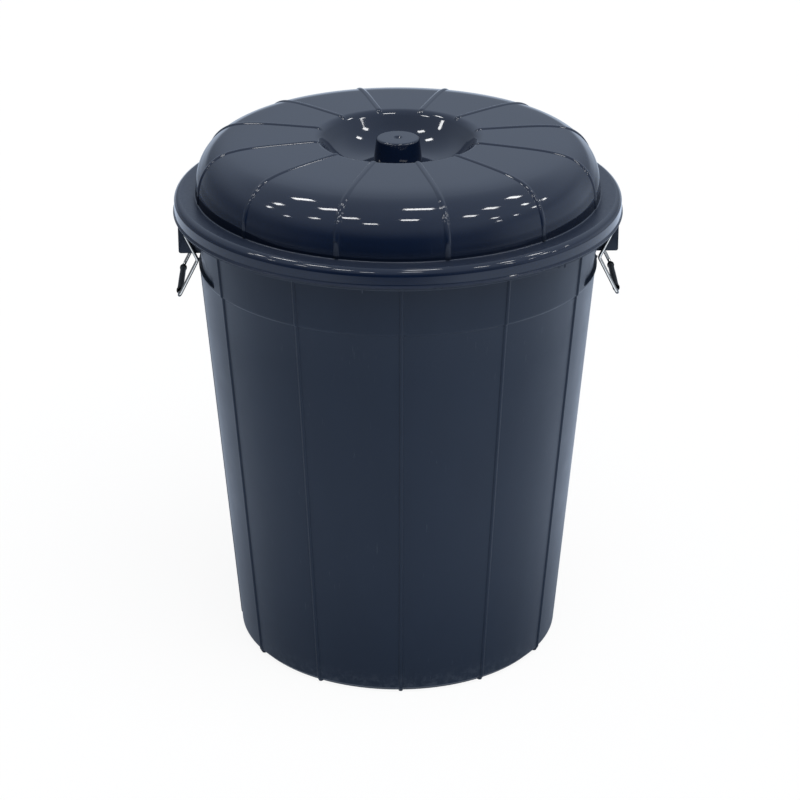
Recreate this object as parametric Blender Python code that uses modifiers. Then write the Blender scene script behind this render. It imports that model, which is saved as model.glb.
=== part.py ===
"""Site bin: a tapered round tub, a domed lift-off lid and two wire bail handles with plastic grips.

The origin is the middle of the footprint, on the floor. +Z is up, the front faces -Y and the two
handles stand at -X and +X. Lengths are in metres.
"""
from math import asin, atan2, cos, hypot, pi, radians, sin

import bmesh
import bpy
from mathutils import Matrix, Vector

# Facets round every turned piece, and along its fillets
SEGMENTS = 60
FILLET_STEPS = 3
FINE_FILLET_STEPS = 1
WIRE_BEND_STEPS = 4
SMOOTH_ANGLE = radians(32)
OVERRUN = 0.004
MERGE = 0.00001

# Tub: heights above the floor, outer radii and walls
RIM_HEIGHT = 0.4854
BASE_RADIUS = 0.1731
FOOT_INSET = 0.0048
WALL_TOP_RADIUS = 0.2134
WALL = 0.0026
BASE_WALL = 0.003
BASE_RECESS = 0.005
FOOT_RING_WIDTH = 0.009
CORNER_HEIGHT = 0.0056
CORNER_ROUND = 0.0022
INNER_CORNER_RADIUS = 0.008

# The tub's upper band stands a little proud of the wall below it
BAND_DROP = 0.0599
BAND_STEP = 0.0012
BAND_RISE = 0.0034

# Rim flange that the lid's skirt stands on, and the collar above it
FLANGE_WIDTH = 0.0198
FLANGE_THICKNESS = 0.0024
FLANGE_FILLET = 0.003
COLLAR_GAP = 0.0008

# Fine upright ribs on the tub
TUB_RIB_COUNT = 12
TUB_RIB_WIDTH = 0.0042
TUB_RIB_HEIGHT = 0.0013
TUB_RIB_LIFT = 0.0006
TUB_RIB_RUN_IN_SHARE = 0.55

# Half-moon recess behind each handle
RECESS_DROP = 0.0569
RECESS_WIDTH = 0.172
RECESS_HEIGHT = 0.034
RECESS_DEPTH = 0.0028
RECESS_CORNER = 0.004
RECESS_FLOOR_FLATNESS_SHARE = 1 / 3
RECESS_POINTS = 28

# Lug under the rim that carries each handle
LUG_WIDTH = 0.0832
LUG_DROP = 0.033
LUG_INSET = 0.0048
LUG_WALL = 0.003
LUG_CORNER = 0.0025

# Wire handle, seen from the side: an upper leg leaning in to a bend, a lower leg leaning out
WIRE_RADIUS = 0.0018
PIVOT_INSET = 0.0068
PIVOT_DROP = 0.0112
PIVOT_CLEARANCE = 0.00035
PIN_LENGTH = 0.0042
LUG_SIDE_GAP = 0.0016
UPPER_LEG = 0.0306
UPPER_LEAN = radians(24.9)
LOWER_LEG = 0.0456
LOWER_LEAN = radians(26.7)
WIRE_BEND = 0.0045

# Plastic grip, loose on the handle's cross bar and slid towards the back of the bin
GRIP_PLAY = 0.0118
GRIP_SLIDE_SHARE = 0.8
GRIP_RADIUS = 0.0032
GRIP_END_RADIUS = 0.0043
GRIP_END_WIDTH = 0.003
GRIP_CLEARANCE = 0.0003
GRIP_SEGMENTS = 12
BORE_SEGMENTS = 16

# Lid: rim, from the skirt's lower edge up and inwards to the foot of the dome
LID_GAP = 0.0003
LIP_OVERHANG = 0.0018
LIP_BEAD = 0.0014
LIP_BEAD_HEIGHT = 0.0032
LID_WALL = 0.0024
LID_RIM_HEIGHT = 0.0193
ROLL_RADIUS = 0.007
GUTTER_WIDTH = 0.0142
GUTTER_DEPTH = 0.0026
FOOT_WIDTH = 0.0012
FOOT_RISE = 0.0012

# Lid: shoulder, crown, dish and knob
SHOULDER_WIDTH = 0.0451
SHOULDER_RISE = 0.0562
SHOULDER_OUT_POWER = 2.07
SHOULDER_UP_POWER = 2.53
SHOULDER_STEPS = 7
ROLL_STEPS = 4
INNER_SHOULDER_STEPS = 4
INNER_ROLL_STEPS = 2
CROWN_RISE = 0.0038
DISH_RADIUS = 0.0835
DISH_DEPTH = 0.0339
DISH_SLOPE = radians(51.5)
DISH_LIP_ROUND = 0.0137
DISH_FLOOR_ROUND = 0.056
KNOB_HEIGHT = 0.0316
KNOB_TOP_RADIUS = 0.0222
KNOB_BASE_RADIUS = 0.0262
KNOB_EDGE_ROUND = 0.0018
KNOB_FOOT_ROUND = 0.003
KNOB_TOP_WALL = 0.003
DIMPLE_RADIUS = 0.005
DIMPLE_DEPTH = 0.0012

# Raised ribs over the lid's crown and shoulder
LID_RIB_COUNT = 12
LID_RIB_PHASE = radians(12.4)
LID_RIB_WIDTH = 0.0062
LID_RIB_HEIGHT = 0.0015
LID_RIB_END_SHARE = 0.45
LID_RIB_START_SHARE = 0.12

# Linear colours and how matt each finish is
PLASTIC_COLOUR = (0.0076, 0.0144, 0.0292, 1)
GRIP_COLOUR = (0.008, 0.008, 0.009, 1)
WIRE_COLOUR = (0.62, 0.63, 0.64, 1)
TUB_ROUGHNESS = 0.42
LID_ROUGHNESS = 0.18
GRIP_ROUGHNESS = 0.45
WIRE_ROUGHNESS = 0.28

# Heights and radii that follow from the sizes above
FLANGE_RADIUS = WALL_TOP_RADIUS + FLANGE_WIDTH
BAND_HEIGHT = RIM_HEIGHT - BAND_DROP
RECESS_FLOOR_HEIGHT = RIM_HEIGHT - RECESS_DROP
FLANGE_UNDERSIDE = RIM_HEIGHT - FLANGE_THICKNESS
FOOT_RADIUS = BASE_RADIUS - FOOT_INSET
LIP_BOTTOM = RIM_HEIGHT + LID_GAP
LIP_RADIUS = FLANGE_RADIUS + LIP_OVERHANG
SKIRT_RADIUS = LIP_RADIUS - LIP_BEAD
ROLL_TOP = LIP_BOTTOM + LID_RIM_HEIGHT
GUTTER_RADIUS = SKIRT_RADIUS - ROLL_RADIUS - GUTTER_WIDTH
GUTTER_HEIGHT = ROLL_TOP - GUTTER_DEPTH
DOME_RADIUS = GUTTER_RADIUS - FOOT_WIDTH
DOME_HEIGHT = GUTTER_HEIGHT + FOOT_RISE
CROWN_RADIUS = DOME_RADIUS - SHOULDER_WIDTH
CROWN_HEIGHT = DOME_HEIGHT + SHOULDER_RISE
DISH_EDGE_HEIGHT = CROWN_HEIGHT + CROWN_RISE
DISH_FLOOR_HEIGHT = DISH_EDGE_HEIGHT - DISH_DEPTH
KNOB_TOP = DISH_FLOOR_HEIGHT + KNOB_HEIGHT
COLLAR_TOP = GUTTER_HEIGHT - LID_WALL - COLLAR_GAP
LUG_FACE = FLANGE_RADIUS - LUG_INSET
LUG_BOTTOM = RIM_HEIGHT - FLANGE_THICKNESS - LUG_DROP
PIVOT_RADIUS = LUG_FACE - PIVOT_INSET
PIVOT_HEIGHT = FLANGE_UNDERSIDE - PIVOT_DROP
LEG_OFFSET = LUG_WIDTH / 2 + LUG_SIDE_GAP + WIRE_RADIUS
BAR_STRAIGHT = 2 * (LEG_OFFSET - WIRE_BEND)
BAR_RADIUS = PIVOT_RADIUS - UPPER_LEG * sin(UPPER_LEAN) + LOWER_LEG * sin(LOWER_LEAN)
BAR_HEIGHT = PIVOT_HEIGHT - UPPER_LEG * cos(UPPER_LEAN) - LOWER_LEG * cos(LOWER_LEAN)


def clear_scene():
    """Removes every object that the file holds."""
    for obj in list(bpy.data.objects):
        bpy.data.objects.remove(obj, do_unlink=True)


def new_collection(name):
    """Makes a collection and links it to the scene."""
    collection = bpy.data.collections.new(name)
    bpy.context.scene.collection.children.link(collection)
    return collection


def new_material(name, colour, roughness, metallic=0):
    """Makes a Principled material of one colour."""
    material = bpy.data.materials.new(name)
    material.use_nodes = True
    shader = material.node_tree.nodes["Principled BSDF"]
    shader.inputs["Base Color"].default_value = colour
    shader.inputs["Roughness"].default_value = roughness
    shader.inputs["Metallic"].default_value = metallic
    return material


def place_object(name, mesh, collection, material=None):
    """Puts a mesh into the scene as an object of its own."""
    obj = bpy.data.objects.new(name, mesh)
    if material:
        mesh.materials.append(material)
    collection.objects.link(obj)
    return obj


def as_cutter(obj):
    """Shows a helper shape as a wire and keeps it out of renders."""
    obj.hide_render = True
    obj.display_type = "WIRE"
    return obj


def sharp(point):
    """Gives a corner that stays sharp."""
    return point, 0, 0


def filleted(point, radius, steps=FILLET_STEPS):
    """Gives a corner that is rounded to a radius, in a number of steps."""
    return point, radius, steps


def round_corners(corners):
    """Turns the sharp and filleted corners of an open path into points."""
    points = []
    for index, (corner, radius, steps) in enumerate(corners):
        if radius == 0:
            points.append(corner)
            continue
        towards = (corners[index - 1][0] - corner).normalized()
        onwards = (corners[index + 1][0] - corner).normalized()
        half_angle = towards.angle(onwards) / 2
        tangent = radius / max(sin(half_angle), MERGE) * cos(half_angle)
        bisector = (towards + onwards).normalized()
        centre = corner + bisector * hypot(radius, tangent)
        start = corner + towards * tangent - centre
        turn = pi - 2 * half_angle
        axis = start.cross(corner + onwards * tangent - centre).normalized()
        for step in range(steps + 1):
            swing = Matrix.Rotation(turn * step / steps, 3, axis)
            points.append(centre + swing @ start)
    return points


def section(radius, height):
    """Gives a point of a turned profile, in the plane of the axis."""
    return Vector((radius, 0, height))


def offset_section(points, distance):
    """Moves an open profile sideways by one distance, to the inner side of a wall."""
    moved = []
    for index, point in enumerate(points):
        before = points[max(index - 1, 0)]
        after = points[min(index + 1, len(points) - 1)]
        sides = [(point - before), (after - point)]
        normals = [Vector((side.z, 0, -side.x)).normalized() for side in sides if side.length > 0]
        normal = sum(normals, Vector()).normalized()
        moved.append(point + normal * distance / max(normal.dot(normals[0]), 0.5))
    return moved


def turned_object(name, profile, collection, material=None, segments=SEGMENTS, ring=False):
    """Turns a profile about the Z axis. At +X it runs down its outer side, from top to bottom."""
    mesh = bpy.data.meshes.new(name)
    edges = [(index, index + 1) for index in range(len(profile) - 1)]
    if ring:
        edges.append((len(profile) - 1, 0))
    mesh.from_pydata([tuple(point) for point in profile], edges, [])
    obj = place_object(name, mesh, collection, material)
    screw = obj.modifiers.new("turn", "SCREW")
    screw.axis = "Z"
    screw.angle = 2 * pi
    screw.steps = segments
    screw.render_steps = segments
    screw.use_merge_vertices = True
    screw.merge_threshold = MERGE
    return obj


def boolean(obj, operation, other):
    """Joins another shape to an object, or cuts it away, with a live modifier."""
    modifier = obj.modifiers.new(operation.lower() + "_" + other.name, "BOOLEAN")
    modifier.operation = operation
    modifier.solver = "EXACT"
    modifier.object = other


def curve_mesh(name, paths, radius, resolution, tapers=None):
    """Sweeps a round section along open paths and returns the closed tubes as one mesh."""
    curve = bpy.data.curves.new(name + "_path", "CURVE")
    curve.dimensions = "3D"
    curve.bevel_depth = radius
    curve.bevel_resolution = resolution
    curve.use_fill_caps = True
    for path in paths:
        spline = curve.splines.new("POLY")
        spline.points.add(len(path) - 1)
        for index, point in enumerate(path):
            spline.points[index].co = (*point, 1)
            spline.points[index].radius = tapers[index] if tapers else 1
    return mesh_of_curve(name, curve)


def mesh_of_curve(name, curve, place=None):
    """Evaluates a curve to a mesh with its caps welded, and removes the curve."""
    guide = bpy.data.objects.new(name + "_guide", curve)
    bpy.context.scene.collection.objects.link(guide)
    if place:
        guide.matrix_world = place
    bpy.context.view_layer.update()
    evaluated = guide.evaluated_get(bpy.context.evaluated_depsgraph_get())
    mesh = bpy.data.meshes.new_from_object(evaluated)
    mesh.name = name
    mesh.transform(guide.matrix_world)
    bpy.data.objects.remove(guide, do_unlink=True)
    work = bmesh.new()
    work.from_mesh(mesh)
    bmesh.ops.remove_doubles(work, verts=work.verts, dist=MERGE)
    bmesh.ops.recalc_face_normals(work, faces=work.faces)
    work.to_mesh(mesh)
    work.free()
    return mesh


def flat_plate(name, outline, thickness, place):
    """Extrudes a closed flat outline to a plate of one thickness, about its own plane."""
    curve = bpy.data.curves.new(name + "_outline", "CURVE")
    curve.dimensions = "2D"
    curve.fill_mode = "BOTH"
    curve.extrude = thickness / 2
    spline = curve.splines.new("POLY")
    spline.points.add(len(outline) - 1)
    for index, (across, up) in enumerate(outline):
        spline.points[index].co = (across, up, 0, 1)
    spline.use_cyclic_u = True
    return mesh_of_curve(name, curve, place)


def box_mesh(name, boxes):
    """Makes upright boxes, each given by its lowest and its highest corner, as one mesh."""
    work = bmesh.new()
    for low, high in boxes:
        size = Vector(high) - Vector(low)
        middle = (Vector(high) + Vector(low)) / 2
        matrix = Matrix.Translation(middle) @ Matrix.Diagonal((*size, 1))
        bmesh.ops.create_cube(work, size=1, matrix=matrix)
    mesh = bpy.data.meshes.new(name)
    work.to_mesh(mesh)
    work.free()
    return mesh


def finish_part(obj):
    """Turns an object's modifiers into real faces, shaded smooth with its real edges kept sharp."""
    bpy.context.view_layer.update()
    evaluated = obj.evaluated_get(bpy.context.evaluated_depsgraph_get())
    mesh = bpy.data.meshes.new_from_object(evaluated)
    mesh.name = obj.name
    obj.modifiers.clear()
    obj.data = mesh
    mesh.shade_smooth()
    mesh.set_sharp_from_angle(angle=SMOOTH_ANGLE)
    return obj


def wall_radius(height):
    """Gives the tub's outer radius at a height, with the proud band near the top."""
    taper = (WALL_TOP_RADIUS - BASE_RADIUS) / RIM_HEIGHT
    above = (height - BAND_HEIGHT) / BAND_RISE + 1 / 2
    return BASE_RADIUS + taper * height + BAND_STEP * min(max(above, 0), 1)


def wall_heights():
    """Gives the heights at which the tub's wall changes its slope."""
    return [BAND_HEIGHT + BAND_RISE / 2, BAND_HEIGHT - BAND_RISE / 2]


def tub_outside():
    """Gives the tub's outer profile, from the axis at its collar down to the axis under the base."""
    inner_top = wall_radius(COLLAR_TOP) - WALL
    edge_round = WALL / 3
    flange_round = FLANGE_THICKNESS / 4
    corners = [
        sharp(section(0, COLLAR_TOP)),
        sharp(section(inner_top, COLLAR_TOP)),
        filleted(section(wall_radius(COLLAR_TOP), COLLAR_TOP), edge_round, FINE_FILLET_STEPS),
        sharp(section(wall_radius(RIM_HEIGHT), RIM_HEIGHT)),
        filleted(section(FLANGE_RADIUS, RIM_HEIGHT), flange_round, FINE_FILLET_STEPS),
        filleted(section(FLANGE_RADIUS, FLANGE_UNDERSIDE), flange_round, FINE_FILLET_STEPS),
        filleted(section(wall_radius(FLANGE_UNDERSIDE), FLANGE_UNDERSIDE), FLANGE_FILLET),
    ]
    corners += [sharp(section(wall_radius(height), height)) for height in wall_heights()]
    ring = FOOT_RADIUS - FOOT_RING_WIDTH
    corners += [
        filleted(section(wall_radius(CORNER_HEIGHT), CORNER_HEIGHT), CORNER_ROUND),
        sharp(section(FOOT_RADIUS, 0)),
        sharp(section(ring, 0)),
        sharp(section(ring - BASE_RECESS, BASE_RECESS)),
        sharp(section(0, BASE_RECESS)),
    ]
    return round_corners(corners)


def tub_inside():
    """Gives the cavity's profile, from above the collar down to the floor of the tub."""
    floor = BASE_RECESS + BASE_WALL
    top = COLLAR_TOP + OVERRUN
    corners = [sharp(section(0, top)), sharp(section(wall_radius(COLLAR_TOP) - WALL, top))]
    heights = [COLLAR_TOP] + wall_heights()
    corners += [sharp(section(wall_radius(height) - WALL, height)) for height in heights]
    corners.append(filleted(section(wall_radius(floor) - WALL, floor), INNER_CORNER_RADIUS))
    return round_corners(corners + [sharp(section(0, floor))])


def sunk_wall(sink, name, collection):
    """Makes a solid of the tub's wall sunk inwards, as the back of the recesses."""
    top = RIM_HEIGHT
    heights = [top] + wall_heights() + [RECESS_FLOOR_HEIGHT - RECESS_HEIGHT]
    profile = [section(0, top)]
    profile += [section(wall_radius(height) - sink, height) for height in heights]
    profile.append(section(0, heights[-1]))
    return as_cutter(turned_object(name, profile, collection))


def recess_outline(margin):
    """Gives the half-moon outline: a half ellipse over a nearly flat floor, grown by a margin."""
    centre = RECESS_FLOOR_HEIGHT + RECESS_CORNER
    upper = RECESS_HEIGHT - RECESS_CORNER + margin
    lower = RECESS_CORNER + margin
    outline = []
    for index in range(RECESS_POINTS):
        angle = 2 * pi * (index + 1 / 2) / RECESS_POINTS
        rise = sin(angle)
        power = 1 if rise > 0 else RECESS_FLOOR_FLATNESS_SHARE
        across = abs(cos(angle)) ** power * (RECESS_WIDTH / 2 + margin)
        up = abs(rise) ** power * (upper if rise > 0 else -lower)
        outline.append((across if cos(angle) > 0 else -across, centre + up))
    return outline


def recess_cutter(name, margin, sink, collection):
    """Makes the shapes between a half-moon outline and the sunk wall, one on each side."""
    across_to_y = Matrix(((0, 0, 1, 0), (1, 0, 0, 0), (0, 1, 0, 0), (0, 0, 0, 1)))
    reach = 2 * (FLANGE_RADIUS + OVERRUN)
    mesh = flat_plate(name, recess_outline(margin), reach, across_to_y)
    cutter = as_cutter(place_object(name, mesh, collection))
    boolean(cutter, "DIFFERENCE", sunk_wall(sink, name + "_back", collection))
    return cutter


def tub_ribs(collection):
    """Makes the fine upright ribs as round bars, sunk so that only their crowns stand proud."""
    bar = (TUB_RIB_WIDTH ** 2 / 4 + TUB_RIB_HEIGHT ** 2) / (2 * TUB_RIB_HEIGHT)
    sink = bar - TUB_RIB_HEIGHT
    run_in = TUB_RIB_RUN_IN_SHARE * FOOT_INSET
    low = TUB_RIB_LIFT + bar * sin(atan2(run_in, CORNER_HEIGHT))
    heights = [low, CORNER_HEIGHT] + wall_heights()[::-1] + [RIM_HEIGHT - FLANGE_THICKNESS / 2]
    radii = [wall_radius(height) for height in heights]
    radii[0] -= run_in * (1 - low / CORNER_HEIGHT)
    paths = []
    for index in range(TUB_RIB_COUNT):
        turn = Matrix.Rotation(2 * pi * index / TUB_RIB_COUNT, 3, "Z")
        paths.append([turn @ Vector((0, sink - radius, height)) for radius, height in zip(radii, heights)])
    mesh = curve_mesh("tub_ribs", paths, bar, 2)
    return as_cutter(place_object("tub_ribs", mesh, collection))


def lug_blocks(collection):
    """Makes the outer blocks of the two lugs, with their lower outer edge rounded."""
    root = wall_radius(LUG_BOTTOM) * cos(asin(LUG_WIDTH / 2 / wall_radius(LUG_BOTTOM)))
    inner = root - RECESS_DEPTH - WALL
    top = RIM_HEIGHT - FLANGE_THICKNESS / 2
    boxes = []
    for side in (-1, 1):
        low, high = sorted((side * inner, side * LUG_FACE))
        boxes.append(((low, -LUG_WIDTH / 2, LUG_BOTTOM), (high, LUG_WIDTH / 2, top)))
    mesh = box_mesh("lug_blocks", boxes)
    work = bmesh.new()
    work.from_mesh(mesh)
    lower_edges = []
    for edge in work.edges:
        outside = all(abs(abs(vert.co.x) - LUG_FACE) < MERGE for vert in edge.verts)
        at_bottom = all(abs(vert.co.z - LUG_BOTTOM) < MERGE for vert in edge.verts)
        if outside and at_bottom:
            lower_edges.append(edge)
    bmesh.ops.bevel(work, geom=lower_edges, offset=LUG_CORNER, segments=FILLET_STEPS, affect="EDGES")
    work.to_mesh(mesh)
    work.free()
    return as_cutter(place_object("lug_blocks", mesh, collection))


def lug_hollows(collection):
    """Makes the hollows inside the lugs, open below and backed by the tub's wall."""
    boxes = []
    across = LUG_WIDTH / 2 - LUG_WALL
    for side in (-1, 1):
        low, high = sorted((side * wall_radius(LUG_BOTTOM) / 2, side * (LUG_FACE - LUG_WALL)))
        boxes.append(((low, -across, LUG_BOTTOM - OVERRUN), (high, across, FLANGE_UNDERSIDE)))
    cutter = as_cutter(place_object("lug_hollows", box_mesh("lug_hollows", boxes), collection))
    boolean(cutter, "DIFFERENCE", sunk_wall(0, "lug_hollows_back", collection))
    return cutter


def pivot_holes(collection):
    """Makes the bores through the lugs' cheeks, on the axes of the handles."""
    work = bmesh.new()
    bore = WIRE_RADIUS + PIVOT_CLEARANCE
    for side in (-1, 1):
        place = Matrix.Translation((side * PIVOT_RADIUS, 0, PIVOT_HEIGHT)) @ Matrix.Rotation(pi / 2, 4, "X")
        bmesh.ops.create_cone(work, cap_ends=True, segments=BORE_SEGMENTS, radius1=bore, radius2=bore,
                              depth=LUG_WIDTH + 2 * OVERRUN, matrix=place)
    mesh = bpy.data.meshes.new("pivot_holes")
    work.to_mesh(mesh)
    work.free()
    return as_cutter(place_object("pivot_holes", mesh, collection))


def make_tub(parts, cutters, material):
    """Builds the tub: wall, flange, collar, base, ribs, recesses and hollow lugs."""
    tub = turned_object("tub", tub_outside(), parts, material)
    boolean(tub, "UNION", tub_ribs(cutters))
    boolean(tub, "DIFFERENCE", recess_cutter("recesses", 0, RECESS_DEPTH, cutters))
    boolean(tub, "UNION", lug_blocks(cutters))
    boolean(tub, "DIFFERENCE", lug_hollows(cutters))
    boolean(tub, "DIFFERENCE", pivot_holes(cutters))
    cavity = as_cutter(turned_object("cavity", tub_inside(), cutters))
    boolean(cavity, "DIFFERENCE", recess_cutter("recess_walls", WALL, RECESS_DEPTH + WALL, cutters))
    boolean(tub, "DIFFERENCE", cavity)
    return finish_part(tub)


def dish_corners():
    """Gives the corners of the dish, from the knob's foot outwards to the crown."""
    run = DISH_DEPTH / sin(DISH_SLOPE) * cos(DISH_SLOPE)
    return [
        filleted(section(DISH_RADIUS - run, DISH_FLOOR_HEIGHT), DISH_FLOOR_ROUND),
        filleted(section(DISH_RADIUS, DISH_EDGE_HEIGHT), DISH_LIP_ROUND),
    ]


def shoulder_points(steps):
    """Gives the shoulder: a superellipse from the crown down to the foot of the dome."""
    points = []
    for step in range(1, steps + 1):
        angle = pi / 2 * step / steps
        across = SHOULDER_WIDTH * sin(angle) ** (2 / SHOULDER_OUT_POWER)
        up = SHOULDER_RISE * max(cos(angle), 0) ** (2 / SHOULDER_UP_POWER)
        points.append(section(CROWN_RADIUS + across, DOME_HEIGHT + up))
    return points


def lid_skin(shoulder_steps, roll_steps):
    """Gives the lid's outer profile from the knob's foot out to the skirt, as points."""
    inner = [
        sharp(section(KNOB_TOP_RADIUS, KNOB_TOP)),
        filleted(section(KNOB_BASE_RADIUS, DISH_FLOOR_HEIGHT), KNOB_FOOT_ROUND, FINE_FILLET_STEPS),
    ]
    inner += dish_corners() + [sharp(section(CROWN_RADIUS, CROWN_HEIGHT))]
    rim = [
        sharp(section(DOME_RADIUS, DOME_HEIGHT)),
        filleted(section(GUTTER_RADIUS, GUTTER_HEIGHT), FOOT_WIDTH / 2, FINE_FILLET_STEPS),
        sharp(section(SKIRT_RADIUS - ROLL_RADIUS, ROLL_TOP)),
    ]
    points = round_corners(inner)[1:] + shoulder_points(shoulder_steps)[:-1] + round_corners(rim)
    for step in range(1, roll_steps + 1):
        angle = pi / 2 * (1 - step / roll_steps)
        across = SKIRT_RADIUS - ROLL_RADIUS + ROLL_RADIUS * cos(angle)
        points.append(section(across, ROLL_TOP - ROLL_RADIUS + ROLL_RADIUS * sin(angle)))
    return points


def lid_outside():
    """Gives the whole outer profile of the lid, from the dimple in its knob to the lip's underside."""
    dimple_floor = DIMPLE_RADIUS / 2
    top = round_corners([
        sharp(section(0, KNOB_TOP - DIMPLE_DEPTH)),
        sharp(section(dimple_floor, KNOB_TOP - DIMPLE_DEPTH)),
        sharp(section(DIMPLE_RADIUS, KNOB_TOP)),
        filleted(section(KNOB_TOP_RADIUS, KNOB_TOP), KNOB_EDGE_ROUND, FINE_FILLET_STEPS),
        sharp(section(KNOB_BASE_RADIUS, DISH_FLOOR_HEIGHT)),
    ])[:-1]
    lip = [
        section(SKIRT_RADIUS, LIP_BOTTOM + LIP_BEAD_HEIGHT + LIP_BEAD),
        section(LIP_RADIUS, LIP_BOTTOM + LIP_BEAD_HEIGHT),
        section(LIP_RADIUS, LIP_BOTTOM),
        section(0, LIP_BOTTOM),
    ]
    return top + lid_skin(SHOULDER_STEPS, ROLL_STEPS) + lip


def lid_inside():
    """Gives the profile of the lid's underside: the outer one moved in by the wall."""
    roof = KNOB_TOP - KNOB_TOP_WALL
    lean = (KNOB_BASE_RADIUS - KNOB_TOP_RADIUS) / KNOB_HEIGHT
    neck = KNOB_TOP_RADIUS + lean * KNOB_TOP_WALL - LID_WALL
    skin = offset_section(lid_skin(INNER_SHOULDER_STEPS, INNER_ROLL_STEPS), LID_WALL)
    skirt = SKIRT_RADIUS - LID_WALL
    low = LIP_BOTTOM - OVERRUN
    return [section(0, roof), section(neck, roof)] + skin + [section(skirt, low), section(0, low)]


def lid_ribs(collection):
    """Makes the raised ribs as round bars along the crown and shoulder, blunt at both ends."""
    bar = (LID_RIB_WIDTH ** 2 / 4 + LID_RIB_HEIGHT ** 2) / (2 * LID_RIB_HEIGHT)
    sink = bar - LID_RIB_HEIGHT
    knob_foot = sharp(section(KNOB_BASE_RADIUS, DISH_FLOOR_HEIGHT))
    crown_edge = sharp(section(CROWN_RADIUS, CROWN_HEIGHT))
    crown = round_corners([knob_foot] + dish_corners() + [crown_edge])
    crown = [point for point in crown if point.x > DISH_RADIUS - LID_RIB_START_SHARE * DISH_LIP_ROUND]
    foot = section(DOME_RADIUS + FOOT_WIDTH / 2, DOME_HEIGHT - FOOT_RISE / 2)
    spine = offset_section(crown + shoulder_points(SHOULDER_STEPS) + [foot], sink)
    tapers = [LID_RIB_END_SHARE] + [1] * (len(spine) - 1)
    paths = []
    for index in range(LID_RIB_COUNT):
        angle = LID_RIB_PHASE + 2 * pi * index / LID_RIB_COUNT
        turn = Matrix.Rotation(angle - pi / 2, 3, "Z")
        paths.append([turn @ point for point in spine])
    mesh = curve_mesh("lid_ribs", paths, bar, 2, tapers)
    return as_cutter(place_object("lid_ribs", mesh, collection))


def make_lid(parts, cutters, material):
    """Builds the lid: one moulded shell with its knob, dish, ribbed dome, gutter, roll and skirt."""
    lid = turned_object("lid", lid_outside(), parts, material)
    boolean(lid, "UNION", lid_ribs(cutters))
    boolean(lid, "DIFFERENCE", as_cutter(turned_object("lid_hollow", lid_inside(), cutters)))
    return finish_part(lid)


def handle_path():
    """Gives the handle's centre line, about its hinge axis: pin, legs, cross bar, legs and pin."""
    pin_end = LUG_WIDTH / 2 - LUG_WALL - PIN_LENGTH
    kink = Vector((-UPPER_LEG * sin(UPPER_LEAN), LEG_OFFSET, -UPPER_LEG * cos(UPPER_LEAN)))
    corner = Vector((BAR_RADIUS - PIVOT_RADIUS, LEG_OFFSET, BAR_HEIGHT - PIVOT_HEIGHT))
    half = [
        sharp(Vector((0, pin_end, 0))),
        filleted(Vector((0, LEG_OFFSET, 0)), WIRE_BEND / 2),
        filleted(kink, WIRE_BEND, WIRE_BEND_STEPS),
        filleted(corner, WIRE_BEND, WIRE_BEND_STEPS),
    ]
    mirrored = []
    for point, radius, steps in reversed(half):
        mirrored.append((Vector((point.x, -point.y, point.z)), radius, steps))
    return round_corners(half + mirrored)


def make_handle(side_name, side, parts, material):
    """Builds one wire handle, with its object's origin on the hinge axis."""
    turn = Matrix.Rotation(0 if side > 0 else pi, 3, "Z")
    path = [turn @ point for point in handle_path()]
    mesh = curve_mesh(side_name + "_handle", [path], WIRE_RADIUS, 2)
    handle = place_object(side_name + "_handle", mesh, parts, material)
    handle.location = (side * PIVOT_RADIUS, 0, PIVOT_HEIGHT)
    return finish_part(handle)


def make_grip(side_name, side, parts, material):
    """Builds the plastic grip on one handle's cross bar: a sleeve with a collar at each end."""
    bore = WIRE_RADIUS + GRIP_CLEARANCE
    half = (BAR_STRAIGHT - GRIP_PLAY) / 2
    edge = GRIP_END_WIDTH / 4
    outer = round_corners([
        sharp(section(bore, half)),
        filleted(section(GRIP_END_RADIUS, half), edge, FINE_FILLET_STEPS),
        filleted(section(GRIP_END_RADIUS, half - GRIP_END_WIDTH), edge, FINE_FILLET_STEPS),
        sharp(section(GRIP_RADIUS, half - GRIP_END_WIDTH)),
    ])
    profile = outer + [section(point.x, -point.z) for point in reversed(outer)]
    grip = turned_object(side_name + "_grip", profile, parts, material, GRIP_SEGMENTS, ring=True)
    grip.rotation_euler = (pi / 2, 0, 0)
    grip.location = (side * BAR_RADIUS, GRIP_SLIDE_SHARE * GRIP_PLAY / 2, BAR_HEIGHT)
    return finish_part(grip)


def main():
    """Builds the whole bin."""
    clear_scene()
    parts = new_collection("site_bin")
    cutters = new_collection("site_bin_cutters")
    make_tub(parts, cutters, new_material("tub_plastic", PLASTIC_COLOUR, TUB_ROUGHNESS))
    make_lid(parts, cutters, new_material("lid_plastic", PLASTIC_COLOUR, LID_ROUGHNESS))
    for side_name, side in (("left", -1), ("right", 1)):
        wire = new_material(side_name + "_wire_zinc", WIRE_COLOUR, WIRE_ROUGHNESS, 1)
        sleeve = new_material(side_name + "_grip_plastic", GRIP_COLOUR, GRIP_ROUGHNESS)
        make_handle(side_name, side, parts, wire)
        make_grip(side_name, side, parts, sleeve)


main()
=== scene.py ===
"""Site bin: the visible tub, lid, wire handles and grips, and the pale studio that they stand in.

All lengths are in metres. +Z is up, the front faces -Y and the handles stand at -X and +X.
"""

import logging
import math
from dataclasses import dataclass
from enum import Enum

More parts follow.
